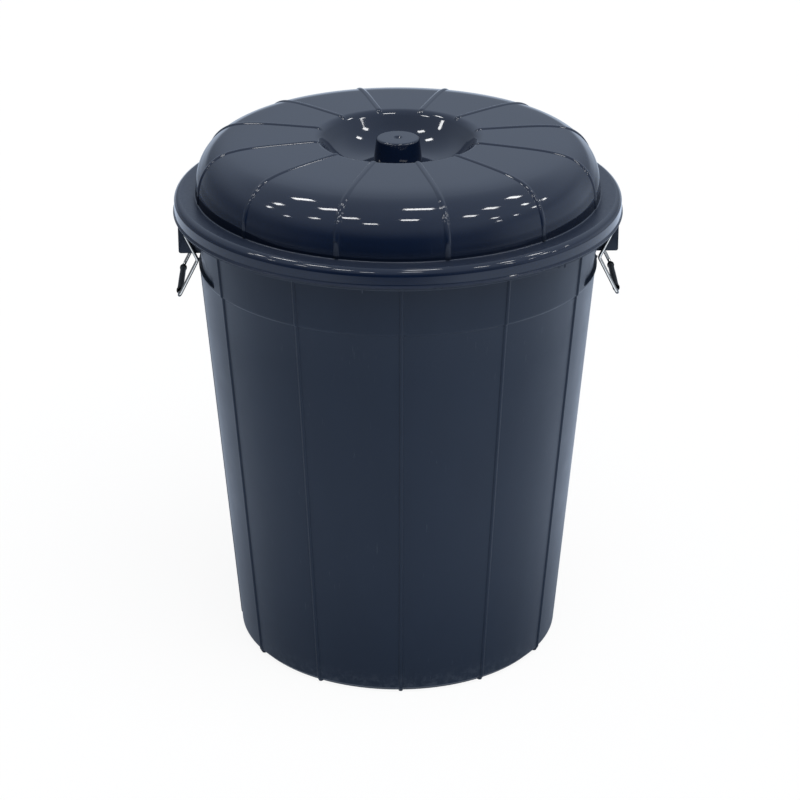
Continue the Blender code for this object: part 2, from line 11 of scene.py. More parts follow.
import bpy
import numpy as np
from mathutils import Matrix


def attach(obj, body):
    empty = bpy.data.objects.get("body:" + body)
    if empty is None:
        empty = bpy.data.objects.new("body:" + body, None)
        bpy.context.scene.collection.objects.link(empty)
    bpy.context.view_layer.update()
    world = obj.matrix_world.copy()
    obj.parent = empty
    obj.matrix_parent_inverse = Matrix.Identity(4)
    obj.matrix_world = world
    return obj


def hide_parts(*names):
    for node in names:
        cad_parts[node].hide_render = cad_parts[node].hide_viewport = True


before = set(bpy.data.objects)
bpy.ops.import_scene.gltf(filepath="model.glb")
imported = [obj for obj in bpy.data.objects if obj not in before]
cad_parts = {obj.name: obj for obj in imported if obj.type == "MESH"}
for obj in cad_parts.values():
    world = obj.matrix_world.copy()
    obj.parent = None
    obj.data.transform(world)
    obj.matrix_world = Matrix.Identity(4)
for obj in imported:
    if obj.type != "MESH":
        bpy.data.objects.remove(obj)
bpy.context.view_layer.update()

Array = np.ndarray
Colour = tuple[float, float, float, float]
log = logging.getLogger("site_bin")


class Side(Enum):
    """The two sides that carry a handle."""

    LEFT = -1
    RIGHT = 1

    @property
    def word(self) -> str:
        """The side's name as it stands in the names of the pieces."""
        return self.name.lower()


# ---------------------------------------------------------------------------------------------
# Lines and surfaces


def ease(share: Array | float) -> Array | float:
    """Gives a soft step: three times the square less twice the cube, held at 0 and 1.

    Args:
        share: where on the step each value lies, 0 at its foot and 1 at its head.

    Returns:
        The height of the step at each value.
    """
    held = np.clip(share, 0.0, 1.0)
    return held * held * (3.0 - 2.0 * held)


def crown(offset: Array, width: float, height: float) -> Array:
    """Gives the height of a round-backed rib: an arc through both edges and the crown.

    Args:
        offset: distance from the rib's middle line.
        width: full width of the rib at its foot.
        height: height of its crown.

    Returns:
        The height at each offset, 0 outside the rib.
    """
    bend = (width * width / 4 + height * height) / (2 * height)
    arc = np.sqrt(np.maximum(bend * bend - offset * offset, 0.0)) - (bend - height)
    return np.maximum(arc, 0.0)


def corner_arc(before: Array, corner: Array, after: Array, radius: float, steps: int) -> Array:
    """Rounds a corner by an arc that touches both runs, in a plane or in space.

    The arc's centre lies on the corner's bisector. Its points are turns of its start towards its end: the two
    spokes are mixed by the sines of the angles that are still to go and already gone.

    Args:
        before: the place before the corner.
        corner: the corner.
        after: the place after it.
        radius: the arc's radius.
        steps: how many pieces the arc has.

    Returns:
        The arc's points, in rows.
    """
    back, onward = before - corner, after - corner
    back, onward = back / np.linalg.norm(back), onward / np.linalg.norm(onward)
    half = math.acos(float(np.clip(back @ onward, -1.0, 1.0))) / 2
    reach = radius / math.tan(half)
    middle = back + onward
    centre = corner + middle / np.linalg.norm(middle) * math.hypot(radius, reach)
    start, end = corner + back * reach - centre, corner + onward * reach - centre
    turn = math.pi - 2 * half
    share = np.linspace(0.0, 1.0, steps + 1)[:, None]
    return centre + (np.sin((1 - share) * turn) * start + np.sin(share * turn) * end) / math.sin(turn)


def rounded(corners: list[Array], bends: list[tuple[float, int]]) -> Array:
    """Gives a line's points, each rounded corner as an arc that touches both runs.

    Args:
        corners: the line's corners, in a plane or in space.
        bends: each corner's radius, 0 for a sharp one, and how many pieces its arc has.

    Returns:
        The points, in rows.
    """
    made = []
    for index, (corner, (radius, steps)) in enumerate(zip(corners, bends)):
        if radius == 0.0:
            made.append(corner[None])
        else:
            made.append(corner_arc(corners[index - 1], corner, corners[index + 1], radius, steps))
    return np.concatenate(made)


class Profile:
    """An open line of points in a plane, with rounded corners."""

    def __init__(self) -> None:
        """Starts an empty line."""
        self.places: list[Array] = []
        self.bends: list[tuple[float, int]] = []

    def to(self, across: float, up: float, radius: float = 0.0, steps: int = 6) -> "Profile":
        """Adds a corner.

        Args:
            across: its distance from the axis.
            up: its height.
            radius: the radius that it is rounded to, or 0.
            steps: how many pieces the rounding has.

        Returns:
            The line itself, so that corners can be chained.
        """
        self.places.append(np.array((across, up), float))
        self.bends.append((radius, steps))
        return self

    def through(self, points: Array) -> "Profile":
        """Adds points of a curve as they are.

        Args:
            points: rows of across and up.

        Returns:
            The line itself.
        """
        for across, up in points:
            self.to(across, up)
        return self

    def points(self) -> Array:
        """Gives the line's points as rows of across and up."""
        return rounded(self.places, self.bends)


def normals(points: Array) -> Array:
    """Gives the normals of a line, on its left hand: the mean direction at a point, turned by 90 degrees.

    Args:
        points: rows of across and up.

    Returns:
        Unit vectors, one for each point.
    """
    run = np.diff(points, axis=0)
    run = run / np.maximum(np.linalg.norm(run, axis=1, keepdims=True), 1e-9)
    mean = np.concatenate((run[:1], run[:-1] + run[1:], run[-1:]))
    mean = mean / np.linalg.norm(mean, axis=1, keepdims=True)
    return np.stack((-mean[:, 1], mean[:, 0]), axis=1)


@dataclass
class Skin:
    """A closed surface given as a grid of points, closed round its columns.

    Its first and last rows each close to one point, unless it is a ring, whose last row joins its first.
    """

    points: Array
    ring: bool = False

    def welded(self) -> tuple[Array, list[tuple[int, ...]]]:
        """Numbers the grid's points once each and joins neighbours by faces.

        Returns:
            The points, and the faces as rows of point numbers that face outwards.
        """
        rows, columns = self.points.shape[:2]
        number = np.arange(rows * columns).reshape(rows, columns)
        kept = np.ones((rows, columns), bool)
        if not self.ring:
            kept[0, 1:] = kept[-1, 1:] = False
            number[0], number[-1] = number[0, 0], number[-1, 0]
        number = (np.cumsum(kept.ravel()) - 1)[number]
        here = np.concatenate((number, number[:1])) if self.ring else number
        after = np.roll(here, -1, axis=1)
        quads = np.stack((here[:-1], after[:-1], after[1:], here[1:]), axis=-1)
        points = self.points[kept]
        if self.ring:
            return points, self._outward(points, quads.reshape(-1, 4), [])
        first, last = quads[0][:, [0, 2, 3]], quads[-1][:, [0, 1, 2]]
        return points, self._outward(points, quads[1:-1].reshape(-1, 4), [first, last])

    @staticmethod
    def _outward(points: Array, quads: Array, fans: list[Array]) -> list[tuple[int, ...]]:
        """Turns the faces over where the volume that they hold comes out below 0.

        Args:
            points: the surface's points.
            quads: its four-sided faces.
            fans: the triangles round its two poles.

        Returns:
            All faces, facing outwards.
        """
        triangles = np.concatenate([quads[:, :3], quads[:, [0, 2, 3]], *fans])
        a, b, c = (points[triangles[:, k]] for k in range(3))
        held = float(np.einsum("ij,ij->i", a, np.cross(b, c)).sum())
        order = 1 if held > 0 else -1
        faces = [tuple(face) for face in quads[:, ::order].tolist()]
        for fan in fans:
            faces += [tuple(face) for face in fan[:, ::order].tolist()]
        return faces


def add_object(name: str, data: bpy.types.ID) -> bpy.types.Object:
    """Makes an object from a mesh, lamp or camera and links it to the scene.

    Args:
        name: the object's name.
        data: what it shows.

    Returns:
        The object.
    """
    made = bpy.data.objects.new(name, data)
    bpy.context.scene.collection.objects.link(made)
    return made


class Piece:
    """Closed skins that are joined to one object of the bin."""

    def __init__(self, name: str) -> None:
        """Starts an empty piece.

        Args:
            name: the object's name.
        """
        self.name = name
        self.points: list[Array] = []
        self.faces: list[tuple[int, ...]] = []

    def add(self, skin: Skin) -> None:
        """Adds one closed skin.

        Args:
            skin: the surface.
        """
        start = sum(len(block) for block in self.points)
        points, faces = skin.welded()
        self.points.append(points)
        self.faces += [tuple(index + start for index in face) for face in faces]

    def finish(self, material: bpy.types.Material, crease: float) -> bpy.types.Object:
        """Makes the mesh object, smooth but for its creases.

        Args:
            material: the finish that it wears.
            crease: the angle in degrees from which an edge stays sharp.

        Returns:
            The object.
        """
        mesh = bpy.data.meshes.new(self.name)
        mesh.from_pydata(np.concatenate(self.points).tolist(), [], self.faces)
        mesh.validate()
        mesh.shade_smooth()
        mesh.set_sharp_from_angle(angle=math.radians(crease))
        mesh.materials.append(material)
        log.info("%s: %d points, %d faces", self.name, len(mesh.vertices), len(mesh.polygons))
        return add_object(self.name, mesh)


@dataclass
class RibColumns:
    """Columns round a turned piece that crowd together across its ribs.

    A column near a rib keeps its distance from the rib's middle in metres at every radius. The others share
    out the rest of the way to the middle between two ribs.
    """

    count: int
    phase: float
    near: tuple[float, ...]
    far: int
    closer: dict[tuple[int, int], Array]

    def __post_init__(self) -> None:
        """Lists each column's rib, side, distance from it and share of the way onwards."""
        ribs, sides, steps, shares = [], [], [], []
        for rib in range(self.count):
            for side in (-1, 1):
                onward = self.closer.get((rib, side), np.arange(1, self.far + 1) / self.far)
                onward = onward if side > 0 else onward[:-1][::-1]
                close = np.array(self.near)
                close = close[1:] if side > 0 else close[::-1]
                step = np.full(len(onward), self.near[-1])
                blocks = (close, step) if side > 0 else (step, close)
                share = (0 * close, onward) if side > 0 else (onward, 0 * close)
                steps.append(np.concatenate(blocks))
                shares.append(np.concatenate(share))
                ribs.append(np.full(len(steps[-1]), rib))
                sides.append(np.full(len(steps[-1]), side))
        self.rib, self.side = np.concatenate(ribs), np.concatenate(sides)
        self.step, self.share = np.concatenate(steps), np.concatenate(shares)

    def at(self, radius: Array | float) -> tuple[Array, Array]:
        """Places the columns at given radii.

        Args:
            radius: one radius for all, or that of each row, or of each row and column.

        Returns:
            The angle of each point from the front, towards +X, and its distance from the nearest rib's
            middle.
        """
        half = math.pi / self.count
        turn = self.step / radius + self.share * (half - self.near[-1] / radius)
        angle = self.phase + 2 * half * self.rib + self.side * turn
        return angle, self.side * turn * radius


def turned(radius: Array, angle: Array, height: Array) -> Array:
    """Gives a turned grid's points: X is the radius times the sine, Y minus the radius times the cosine.

    Args:
        radius: distance from the axis.
        angle: angle from the front, towards +X.
        height: height above the floor.

    Returns:
        A grid of points.
    """
    return np.stack(np.broadcast_arrays(radius * np.sin(angle), -radius * np.cos(angle), height), axis=-1)


# ---------------------------------------------------------------------------------------------
# Shader maths


class Signal:
    """A socket of a material's nodes that can be reckoned with like a number."""

    def __init__(self, nodes: "Nodes", socket: bpy.types.NodeSocket) -> None:
        """Wraps a socket.

        Args:
            nodes: the tree that new nodes go to.
            socket: the output that carries the value.
        """
        self.nodes = nodes
        self.socket = socket

    def _math(self, operation: str, *values: "Signal | float") -> "Signal":
        """Adds one Math node.

        Args:
            operation: what the node does.
            values: its inputs, in order.

        Returns:
            The node's value.
        """
        return self.nodes.make("ShaderNodeMath", {"operation": operation}, dict(enumerate(values)))

    def __add__(self, other: "Signal | float") -> "Signal":
        """Adds a value."""
        return self._math("ADD", self, other)

    def __radd__(self, other: float) -> "Signal":
        """Adds this to a number."""
        return self._math("ADD", other, self)

    def __sub__(self, other: "Signal | float") -> "Signal":
        """Takes a value away."""
        return self._math("SUBTRACT", self, other)

    def __rsub__(self, other: float) -> "Signal":
        """Takes this away from a number."""
        return self._math("SUBTRACT", other, self)

    def __mul__(self, other: "Signal | float") -> "Signal":
        """Multiplies by a value."""
        return self._math("MULTIPLY", self, other)

    def __rmul__(self, other: float) -> "Signal":
        """Multiplies a number by this."""
        return self._math("MULTIPLY", other, self)

    def step(self, low: float, high: float) -> "Signal":
        """Gives a soft step of this value.

        Args:
            low: the value at which the step begins.
            high: the value at which it ends.

        Returns:
            0 below, 1 above, and a smooth rise between.
        """
        settings = {"interpolation_type": "SMOOTHSTEP"}
        limits = {"Value": self, "From Min": low, "From Max": high, "To Min": 0.0, "To Max": 1.0}
        return self.nodes.make("ShaderNodeMapRange", settings, limits)

    def band(self, start: float, full: float, fading: float, end: float) -> "Signal":
        """Gives a soft band of this value.

        Args:
            start: the value at which the band begins to rise.
            full: the value from which it is 1.
            fading: the value from which it falls again.
            end: the value at which it is back at 0.

        Returns:
            1 inside the band and 0 outside it.
        """
        return self.step(start, full) * (1 - self.step(fading, end))

    def root(self) -> "Signal":
        """Takes the square root."""
        return self._math("SQRT", self)


class Nodes:
    """The node tree of one material or of the world."""

    def __init__(self, tree: bpy.types.NodeTree) -> None:
        """Empties the tree.

        Args:
            tree: the tree to fill.
        """
        self.tree = tree
        tree.nodes.clear()

    def make(self, kind: str, settings: dict[str, object] | None = None,
             inputs: dict[str | int, object] | None = None, output: str | int = 0) -> Signal:
        """Adds a node.

        Args:
            kind: the node's type.
            settings: its settings, which are set first.
            inputs: a value or a link for each named or numbered socket.
            output: the socket that is given back.

        Returns:
            The chosen output.
        """
        node = self.tree.nodes.new(kind)
        for name, value in (settings or {}).items():
            setattr(node, name, value)
        for name, value in (inputs or {}).items():
            socket = node.inputs[name]
            if isinstance(value, Signal):
                self.tree.links.new(value.socket, socket)
            else:
                socket.default_value = value
        return Signal(self, node.outputs[output]) if len(node.outputs) else Signal(self, None)

    def place(self) -> Signal:
        """Gives the point on the object, in metres."""
        return self.make("ShaderNodeTexCoord", output="Object")

    def axes(self, vector: Signal) -> tuple[Signal, Signal, Signal]:
        """Takes a vector apart.

        Args:
            vector: the vector.

        Returns:
            Its three parts.
        """
        first = self.make("ShaderNodeSeparateXYZ", inputs={"Vector": vector})
        node = first.socket.node
        return first, Signal(self, node.outputs[1]), Signal(self, node.outputs[2])

    def grain(self, size: float, detail: float = 2.0, stretch: tuple[float, float, float] = (1, 1, 1),
              roughness: float = 0.5) -> Signal:
        """Gives a cloudy pattern.

        Args:
            size: the size of its patches, in metres.
            detail: how many finer layers it has.
            stretch: how much it is drawn out along each axis.
            roughness: how strong the finer layers are.

        Returns:
            Values about one half.
        """
        scale = tuple(1 / part for part in stretch)
        place = self.make("ShaderNodeMapping", {}, {"Vector": self.place(), "Scale": scale})
        inputs = {"Vector": place, "Scale": 1 / size, "Detail": detail, "Roughness": roughness}
        return self.make("ShaderNodeTexNoise", {}, inputs)

    def blend(self, factor: Signal, low: Signal | tuple, high: Signal | tuple) -> Signal:
        """Mixes two colours.

        Args:
            factor: 0 for the first, 1 for the second.
            low: the first colour.
            high: the second colour.

        Returns:
            The mixed colour.
        """
        return self.make("ShaderNodeMix", {"data_type": "RGBA"}, {0: factor, 6: low, 7: high}, 2)

    def bump(self, height: Signal) -> Signal:
        """Turns a pattern of heights, in metres, into bent normals."""
        return self.make("ShaderNodeBump", {}, {"Height": height, "Distance": 1.0, "Strength": 1.0})

    def principled(self, inputs: dict[str | int, object]) -> Signal:
        """Adds a Principled shader with its inputs."""
        return self.make("ShaderNodeBsdfPrincipled", {}, inputs)

    def glow(self, colour: Colour, strength: Signal | float) -> Signal:
        """Adds a shader that glows by itself."""
        return self.make("ShaderNodeEmission", {}, {"Color": colour, "Strength": strength})

    def mix(self, factor: Signal, first: Signal, second: Signal) -> Signal:
        """Mixes two shaders: 0 gives the first and 1 the second."""
        return self.make("ShaderNodeMixShader", {}, {0: factor, 1: first, 2: second})

    def cover(self, shader: Signal) -> None:
        """Puts a shader on the material's surface."""
        self.make("ShaderNodeOutputMaterial", {}, {"Surface": shader})


def rgb(red: float, green: float, blue: float) -> Colour:
    """Gives a linear colour with full cover."""
    return red, green, blue, 1.0


def new_material(name: str) -> tuple[bpy.types.Material, Nodes]:
    """Makes an empty node material.

    Args:
        name: its name.

    Returns:
        The material and its nodes.
    """
    material = bpy.data.materials.new(name)
    material.use_nodes = True
    return material, Nodes(material.node_tree)


# ---------------------------------------------------------------------------------------------
# Finishes


@dataclass(frozen=True)
class RimWearAndShade:
    """Wear and painted shade round a turned piece: a ring of settled dust, painted shade in the dome's
    corner, and a rubbed outer rim.

    rubbed_from, dust_from, dust_to and corner are distances from the axis, and corner_top is a height.
    rubbed and dust are amounts, and so is the strength of the painted corner shade.
    """

    rubbed_from: float
    rubbed: float
    dust_from: float = 0.0
    dust_to: float = 0.0
    dust: float = 0.0
    corner: float = 0.21
    corner_top: float = 0.51
    grime_and_shade: float = 0.0

    def settled(self, nodes: Nodes, radial: Signal) -> Signal:
        """Gives the settled dust: a ring with soft edges, thicker and thinner in patches of 4 mm.

        Args:
            nodes: the material's nodes.
            radial: the distance from the axis.

        Returns:
            How much dust lies on each place.
        """
        ring = radial.band(self.dust_from, self.dust_from + 0.001, self.dust_to - 0.003, self.dust_to)
        return ring * (0.7 + nodes.grain(0.004, 3.0) * 0.6) * self.dust

    def rubbing(self, nodes: Nodes, radial: Signal) -> Signal:
        """Gives how far the outer rim is rubbed pale and dull, in patches of 6 mm.

        Args:
            nodes: the material's nodes.
            radial: the distance from the axis.

        Returns:
            How rubbed each place is.
        """
        outer = radial.step(self.rubbed_from - 0.0003, self.rubbed_from + 0.0003)
        return outer * (0.6 + nodes.grain(0.006, 3.0) * 0.8)

    def painted_corner_shade(self, radial: Signal, across: Signal, height: Signal) -> Signal:
        """Gives the painted shade where the dome stands on the brim: a low dark band that is higher towards
        the sides.

        Args:
            radial: the distance from the axis.
            across: the distance to the right.
            height: the height above the floor.

        Returns:
            How much painted shade covers each place.
        """
        corner, top = self.corner, self.corner_top
        higher = (across * across).step(0.012, 0.03) * 0.0062
        line = radial.band(corner - 0.002, corner - 0.0012, corner + 0.0018, corner + 0.0026)
        above = height.step(top - 0.004, top - 0.0034)
        below = 1 - (height - higher).step(top - 0.0012, top)
        fainter = 1 - across.step(-0.12, 0.12) * 0.4
        # Painted shade: a dark band that stands in for the dome's foot mirroring the dark brim, fainter on
        # the right.
        return line * above * below * fainter * self.grime_and_shade


@dataclass(frozen=True)
class MouldedPlastic:
    """Injection-moulded polypropylene: flow clouds, fine grain, soft sink waves, scuffs, rim wear and a
    painted shade in the dome's corner.
    """

    name: str
    colour: Colour
    cloud: Colour
    scuff: Colour
    roughness: float
    spread: float
    gloss_level: float
    wave_depth: float
    grain_depth: float
    scuffs: float
    foot_wear: float
    wear_and_shade: RimWearAndShade

    def scratches(self, nodes: Nodes, height: Signal) -> Signal:
        """Gives the scuffs: upright threads that show in patches, and a worn foot below 30 mm.

        Args:
            nodes: the material's nodes.
            height: the height above the floor.

        Returns:
            How worn each place is.
        """
        thread = nodes.grain(0.0016, 3.0, (1.0, 1.0, 22.0), 0.6).step(0.655, 0.72)
        patch = nodes.grain(0.045, 2.0).step(0.48, 0.72)
        foot = (1 - height.step(0.004, 0.03)) * nodes.grain(0.006, 4.0, roughness=0.7).step(0.42, 0.66)
        return thread * patch * self.scuffs + foot * self.foot_wear

    def material(self) -> bpy.types.Material:
        """Builds the material.

        Returns:
            The finished material.
        """
        made, nodes = new_material(self.name)
        across, depth, height = nodes.axes(nodes.place())
        radial = (across * across + depth * depth).root()
        settled, rubbed = self.wear_and_shade.settled(nodes, radial), self.wear_and_shade.rubbing(nodes, radial)
        worn = self.scratches(nodes, height)
        flow = nodes.grain(0.07, 3.0, (1.0, 1.0, 3.0)).step(0.3, 0.7)
        cloud = nodes.blend(flow, self.colour, self.cloud)
        base = nodes.blend(worn + settled * 0.17 + rubbed * self.wear_and_shade.rubbed, cloud, self.scuff)
        patchy = self.spread * (nodes.grain(0.03, 4.0, roughness=0.6) - 0.5)
        rough = self.roughness + patchy + worn * 0.25 + settled * 0.34 + rubbed * 0.25
        wave, fine = nodes.grain(0.055, 1.0, (1.0, 1.0, 1.6)), nodes.grain(0.0009, 2.0)
        relief = wave * self.wave_depth + fine * self.grain_depth - worn * (self.grain_depth * 2)
        plain = nodes.principled({"Base Color": base, "Roughness": rough, "Normal": nodes.bump(relief),
                                  "IOR": 1.5, "Specular IOR Level": self.gloss_level})
        # Painted shade: a dark, dull shader is mixed in along the dome's foot.
        grime_and_shade = nodes.principled({"Base Color": rgb(0.0006, 0.0028, 0.0095), "Roughness": 0.6,
                                  "Specular IOR Level": 0.05})
        nodes.cover(nodes.mix(self.wear_and_shade.painted_corner_shade(radial, across, height), plain, grime_and_shade))
        return made


@dataclass(frozen=True)
class ZincWire:
    """Bright zinc-plated steel wire: a painted reflection darkens it towards its rims as seen, with drawing
    lines, dull patches and dirty spots.
    """

    name: str
    colour: Colour
    grime_and_shade: Colour
    rim: Colour
    roughness: float

    def material(self) -> bpy.types.Material:
        """Builds the material.

        Returns:
            The finished material.
        """
        made, nodes = new_material(self.name)
        dull = nodes.grain(0.004, 4.0, roughness=0.65).step(0.45, 0.7)
        spots = nodes.grain(0.0012, 3.0).step(0.62, 0.72)
        line = nodes.grain(0.0005, 2.0, (1.0, 14.0, 8.0))
        # Painted reflection: the wire darkens towards its rims as seen, standing in for the dark room
        # mirrored there.
        edge = nodes.make("ShaderNodeLayerWeight", {}, {"Blend": 0.5}, "Facing").step(0.15, 0.42)
        painted_reflection_tone = nodes.blend(edge, self.colour, self.rim)
        base = nodes.blend(spots * 0.5 + dull * 0.18, painted_reflection_tone, self.grime_and_shade)
        rough = self.roughness + dull * 0.1 + spots * 0.2
        normal = nodes.bump(line * 0.00001 + dull * 0.00002)
        nodes.cover(nodes.principled({
            "Base Color": base, "Metallic": 1.0, "Roughness": rough, "Normal": normal}))
        return made


@dataclass(frozen=True)
class GripPlastic:
    """Black moulded sleeve: fine grain and dust along it."""

    name: str
    colour: Colour
    dust: Colour
    roughness: float

    def material(self) -> bpy.types.Material:
        """Builds the material.

        Returns:
            The finished material.
        """
        made, nodes = new_material(self.name)
        dust = nodes.grain(0.0035, 4.0, (1.0, 3.0, 1.0), 0.65).step(0.5, 0.78)
        fine = nodes.grain(0.0005, 2.0)
        base = nodes.blend(dust * 0.3, self.colour, self.dust)
        rough = self.roughness + dust * 0.2
        normal = nodes.bump(fine * 0.00003 + dust * 0.00002)
        nodes.cover(nodes.principled({
            "Base Color": base, "Roughness": rough, "Normal": normal, "Specular IOR Level": 0.04}))
        return made


# ---------------------------------------------------------------------------------------------
# The tub


@dataclass
class Tub:
    """The tub: tapered wall with fine ribs, proud band, sunk half-moons, flange, collar and two lugs."""

    rim_height: float = 0.4854
    foot_radius: float = 0.1683
    base_radius: float = 0.1731
    top_radius: float = 0.2134
    wall: float = 0.0026
    base_wall: float = 0.003
    base_recess: float = 0.005
    foot_ring: float = 0.009
    corner_height: float = 0.0106
    edge_height: float = 0.0056
    edge_round: float = 0.0022
    rib_run_in: float = 0.55
    inner_corner: float = 0.008
    band_height: float = 0.4255
    band_step: float = 0.0012
    band_rise: float = 0.0026
    flange_radius: float = 0.2332
    flange_thickness: float = 0.0024
    flange_fillet: float = 0.003
    collar_top: float = 0.4992
    rib_count: int = 12
    rib_width: float = 0.0042
    rib_height: float = 0.0015
    rib_lift: float = 0.0006
    recess_floor: float = 0.4285
    recess_width: float = 0.18
    recess_height: float = 0.034
    recess_depth: float = 0.0034
    recess_corner: float = 0.004
    lug_width: float = 0.0832
    lug_bottom: float = 0.45
    lug_face: float = 0.2284
    lug_wall: float = 0.003
    lug_corner: float = 0.0025
    pivot_radius: float = 0.2216
    pivot_height: float = 0.4718
    pivot_bore: float = 0.00215
    lug_inset: float = 0.00002
    cheek_depth: float = 0.004
    cheek_edge: float = 0.00035
    recess_level: float = 0.445
    recess_reach: float = 0.93
    recess_edge: float = 0.0003
    recess_tip_edge: float = 0.0008
    plate_edge: float = 0.0003
    plate_share: float = 0.9995
    collar_foot: float = 0.49
    inner_heights: tuple[float, float, float] = (0.478, 0.472, 0.418)
    inner_joint: float = 0.4
    fan_radius: float = 0.12
    fillet_rows: int = 4
    flashes: tuple[tuple[float, float, float, float], ...] = (
        (-9.6, 0.0005, 0.0024, 0.0004), (42.5, 0.002, 0.0006, 0.0005), (44.5, 0.0004, 0.0022, 0.0004))

    def wall_radius(self, height: Array | float) -> Array | float:
        """Gives the wall's outer radius: a straight taper, and a soft step out at the band.

        Args:
            height: height above the floor.

        Returns:
            The radius at each height.
        """
        taper = (self.top_radius - self.base_radius) / self.rim_height
        step = ease((height - self.band_height) / self.band_rise + 0.5)
        return self.base_radius + taper * height + self.band_step * step

    def half_moon(self, along: Array, height: Array, margin: float,
                  softness: Array | float) -> Array:
        """Tells how far a place on the wall lies inside the half-moon.

        The outline is a half ellipse over a nearly flat floor. The floor is a curve whose sixth powers of
        across and up add to 1. The distance to either is the outline's value less 1, over its steepness.

        Args:
            along: distance from the side's middle line, along Y.
            height: height above the floor.
            margin: how much the outline grows on all sides.
            softness: width of the edge.

        Returns:
            1 inside, 0 outside and a soft step across the edge.
        """
        up = height - (self.recess_floor + self.recess_corner)
        wide = self.recess_width / 2 + margin
        high = self.recess_height - self.recess_corner + margin
        low = self.recess_corner + margin
        across, above = np.abs(along) / wide, up / high
        steep = 2 * np.sqrt((across / wide) ** 2 + (above / high) ** 2) + 1e-9
        upper = (across ** 2 + above ** 2 - 1) / steep
        below = np.abs(up) / low
        sixth = np.maximum(across ** 6 + below ** 6, 1e-12)
        value = sixth ** (1 / 6)
        slope = sixth ** (-5 / 6) * np.sqrt((across ** 5 / wide) ** 2 + (below ** 5 / low) ** 2) + 1e-9
        lower = (value - 1) / slope
        return ease(0.5 - np.where(up > 0, upper, lower) / softness)

    def columns(self) -> RibColumns:
        """Spaces the shell's columns: close across the ribs, and close at the tips of the half-moons.

        Returns:
            The columns.
        """
        runs = ((0.06, 0.22, 3), (0.25, 0.5, 26), (0.56, 1, 6))
        tips = np.concatenate([np.linspace(*run) for run in runs])
        sides = np.linspace(0, 1, 15)[1:]
        closer = {(2, 1): tips, (4, -1): tips, (8, 1): tips, (10, -1): tips}
        closer |= {(rib, side): sides for rib in (3, 9) for side in (-1, 1)}
        near = (0.0, 0.0004, 0.0008, 0.0012, 0.0016, 0.0019, 0.00208, 0.0023, 0.0034)
        return RibColumns(self.rib_count, 0.0, near, 8, closer)

    def wall_rows(self, along: Array) -> Array:
        """Gives the heights of the wall's rows above the band, bent to follow the half-moon's outline.

        They follow it up to recess_reach, a share of its half width, and run level from there.

        Args:
            along: distance of each column from the side's middle line.

        Returns:
            A grid of heights.
        """
        middle = self.recess_floor + self.recess_corner
        share = np.minimum(np.abs(along) / (self.recess_width / 2), self.recess_reach)
        low = middle - self.recess_corner * (1 - share ** 6) ** (1 / 6)
        rise = self.recess_height - self.recess_corner
        high = middle + rise * np.sqrt(1 - share ** 2)
        lean = rise / (self.recess_width / 2) * share / np.sqrt(1 - share ** 2)
        lean = np.sqrt(1 + lean ** 2)
        edge = np.array((-0.0006, -0.00016, 0.00016, 0.0006))
        lower = low + edge[:, None]
        upper = high + edge[:, None] * lean
        inner = np.linspace(0, 1, 16)[1:-1, None]
        top = self.rim_height - self.flange_thickness - self.flange_fillet * 1.1
        above = np.linspace(0, 1, 6)[1:, None]
        between = lower[-1] + inner * (upper[0] - lower[-1])
        return np.concatenate((lower, between, upper, upper[-1] + above * (top - upper[-1])))

    def foot_lines(self) -> tuple[Array, Array]:
        """Gives the line under the base out to the foot, and the one from there up round the bottom corner.

        Returns:
            Both lines, as rows of radius and height.
        """
        wall, ring = self.wall_radius, self.foot_radius - self.foot_ring
        below = Profile().to(0, self.base_recess).to(ring - self.base_recess, self.base_recess)
        below.to(ring, 0, 0.001, 3).to(self.foot_radius - self.rib_lift, 0)
        below.to(self.foot_radius, self.rib_lift / 3)
        corner = Profile().to(self.foot_radius, self.rib_lift)
        corner.to(wall(self.edge_height), self.edge_height, self.edge_round, 7)
        corner.to(wall(self.corner_height), self.corner_height)
        return below.points(), corner.points()

    def rim_line(self, start: float) -> Array:
        """Gives the line from the wall out round the flange, up and over the collar, and in.

        Args:
            start: the height at which it leaves the wall.

        Returns:
            Rows of radius and height.
        """
        wall, under = self.wall_radius, self.flange_underside()
        rim = Profile().to(wall(start), start).to(wall(under), under, self.flange_fillet)
        rim.to(self.flange_radius, under, 0.0006, 4).to(self.flange_radius, self.rim_height, 0.0007, 4)
        rim.to(wall(self.rim_height), self.rim_height, 0.0006, 3)
        rim.to(wall(self.collar_top), self.collar_top, 0.0009, 4)
        rim.to(wall(self.collar_top) - self.wall, self.collar_top, 0.0009, 4)
        rim.to(wall(self.collar_foot) - self.wall, self.collar_foot)
        return rim.points()[1:]

    def floor_line(self) -> Array:
        """Gives the line down the inner wall, round the inner corner and in to the axis.

        Returns:
            Rows of radius and height.
        """
        floor = self.base_recess + self.base_wall
        inside = Profile().to(self.wall_radius(self.inner_joint) - self.wall, self.inner_joint)
        inside.to(self.wall_radius(floor) - self.wall, floor, self.inner_corner, 8)
        return inside.to(0, floor).points()

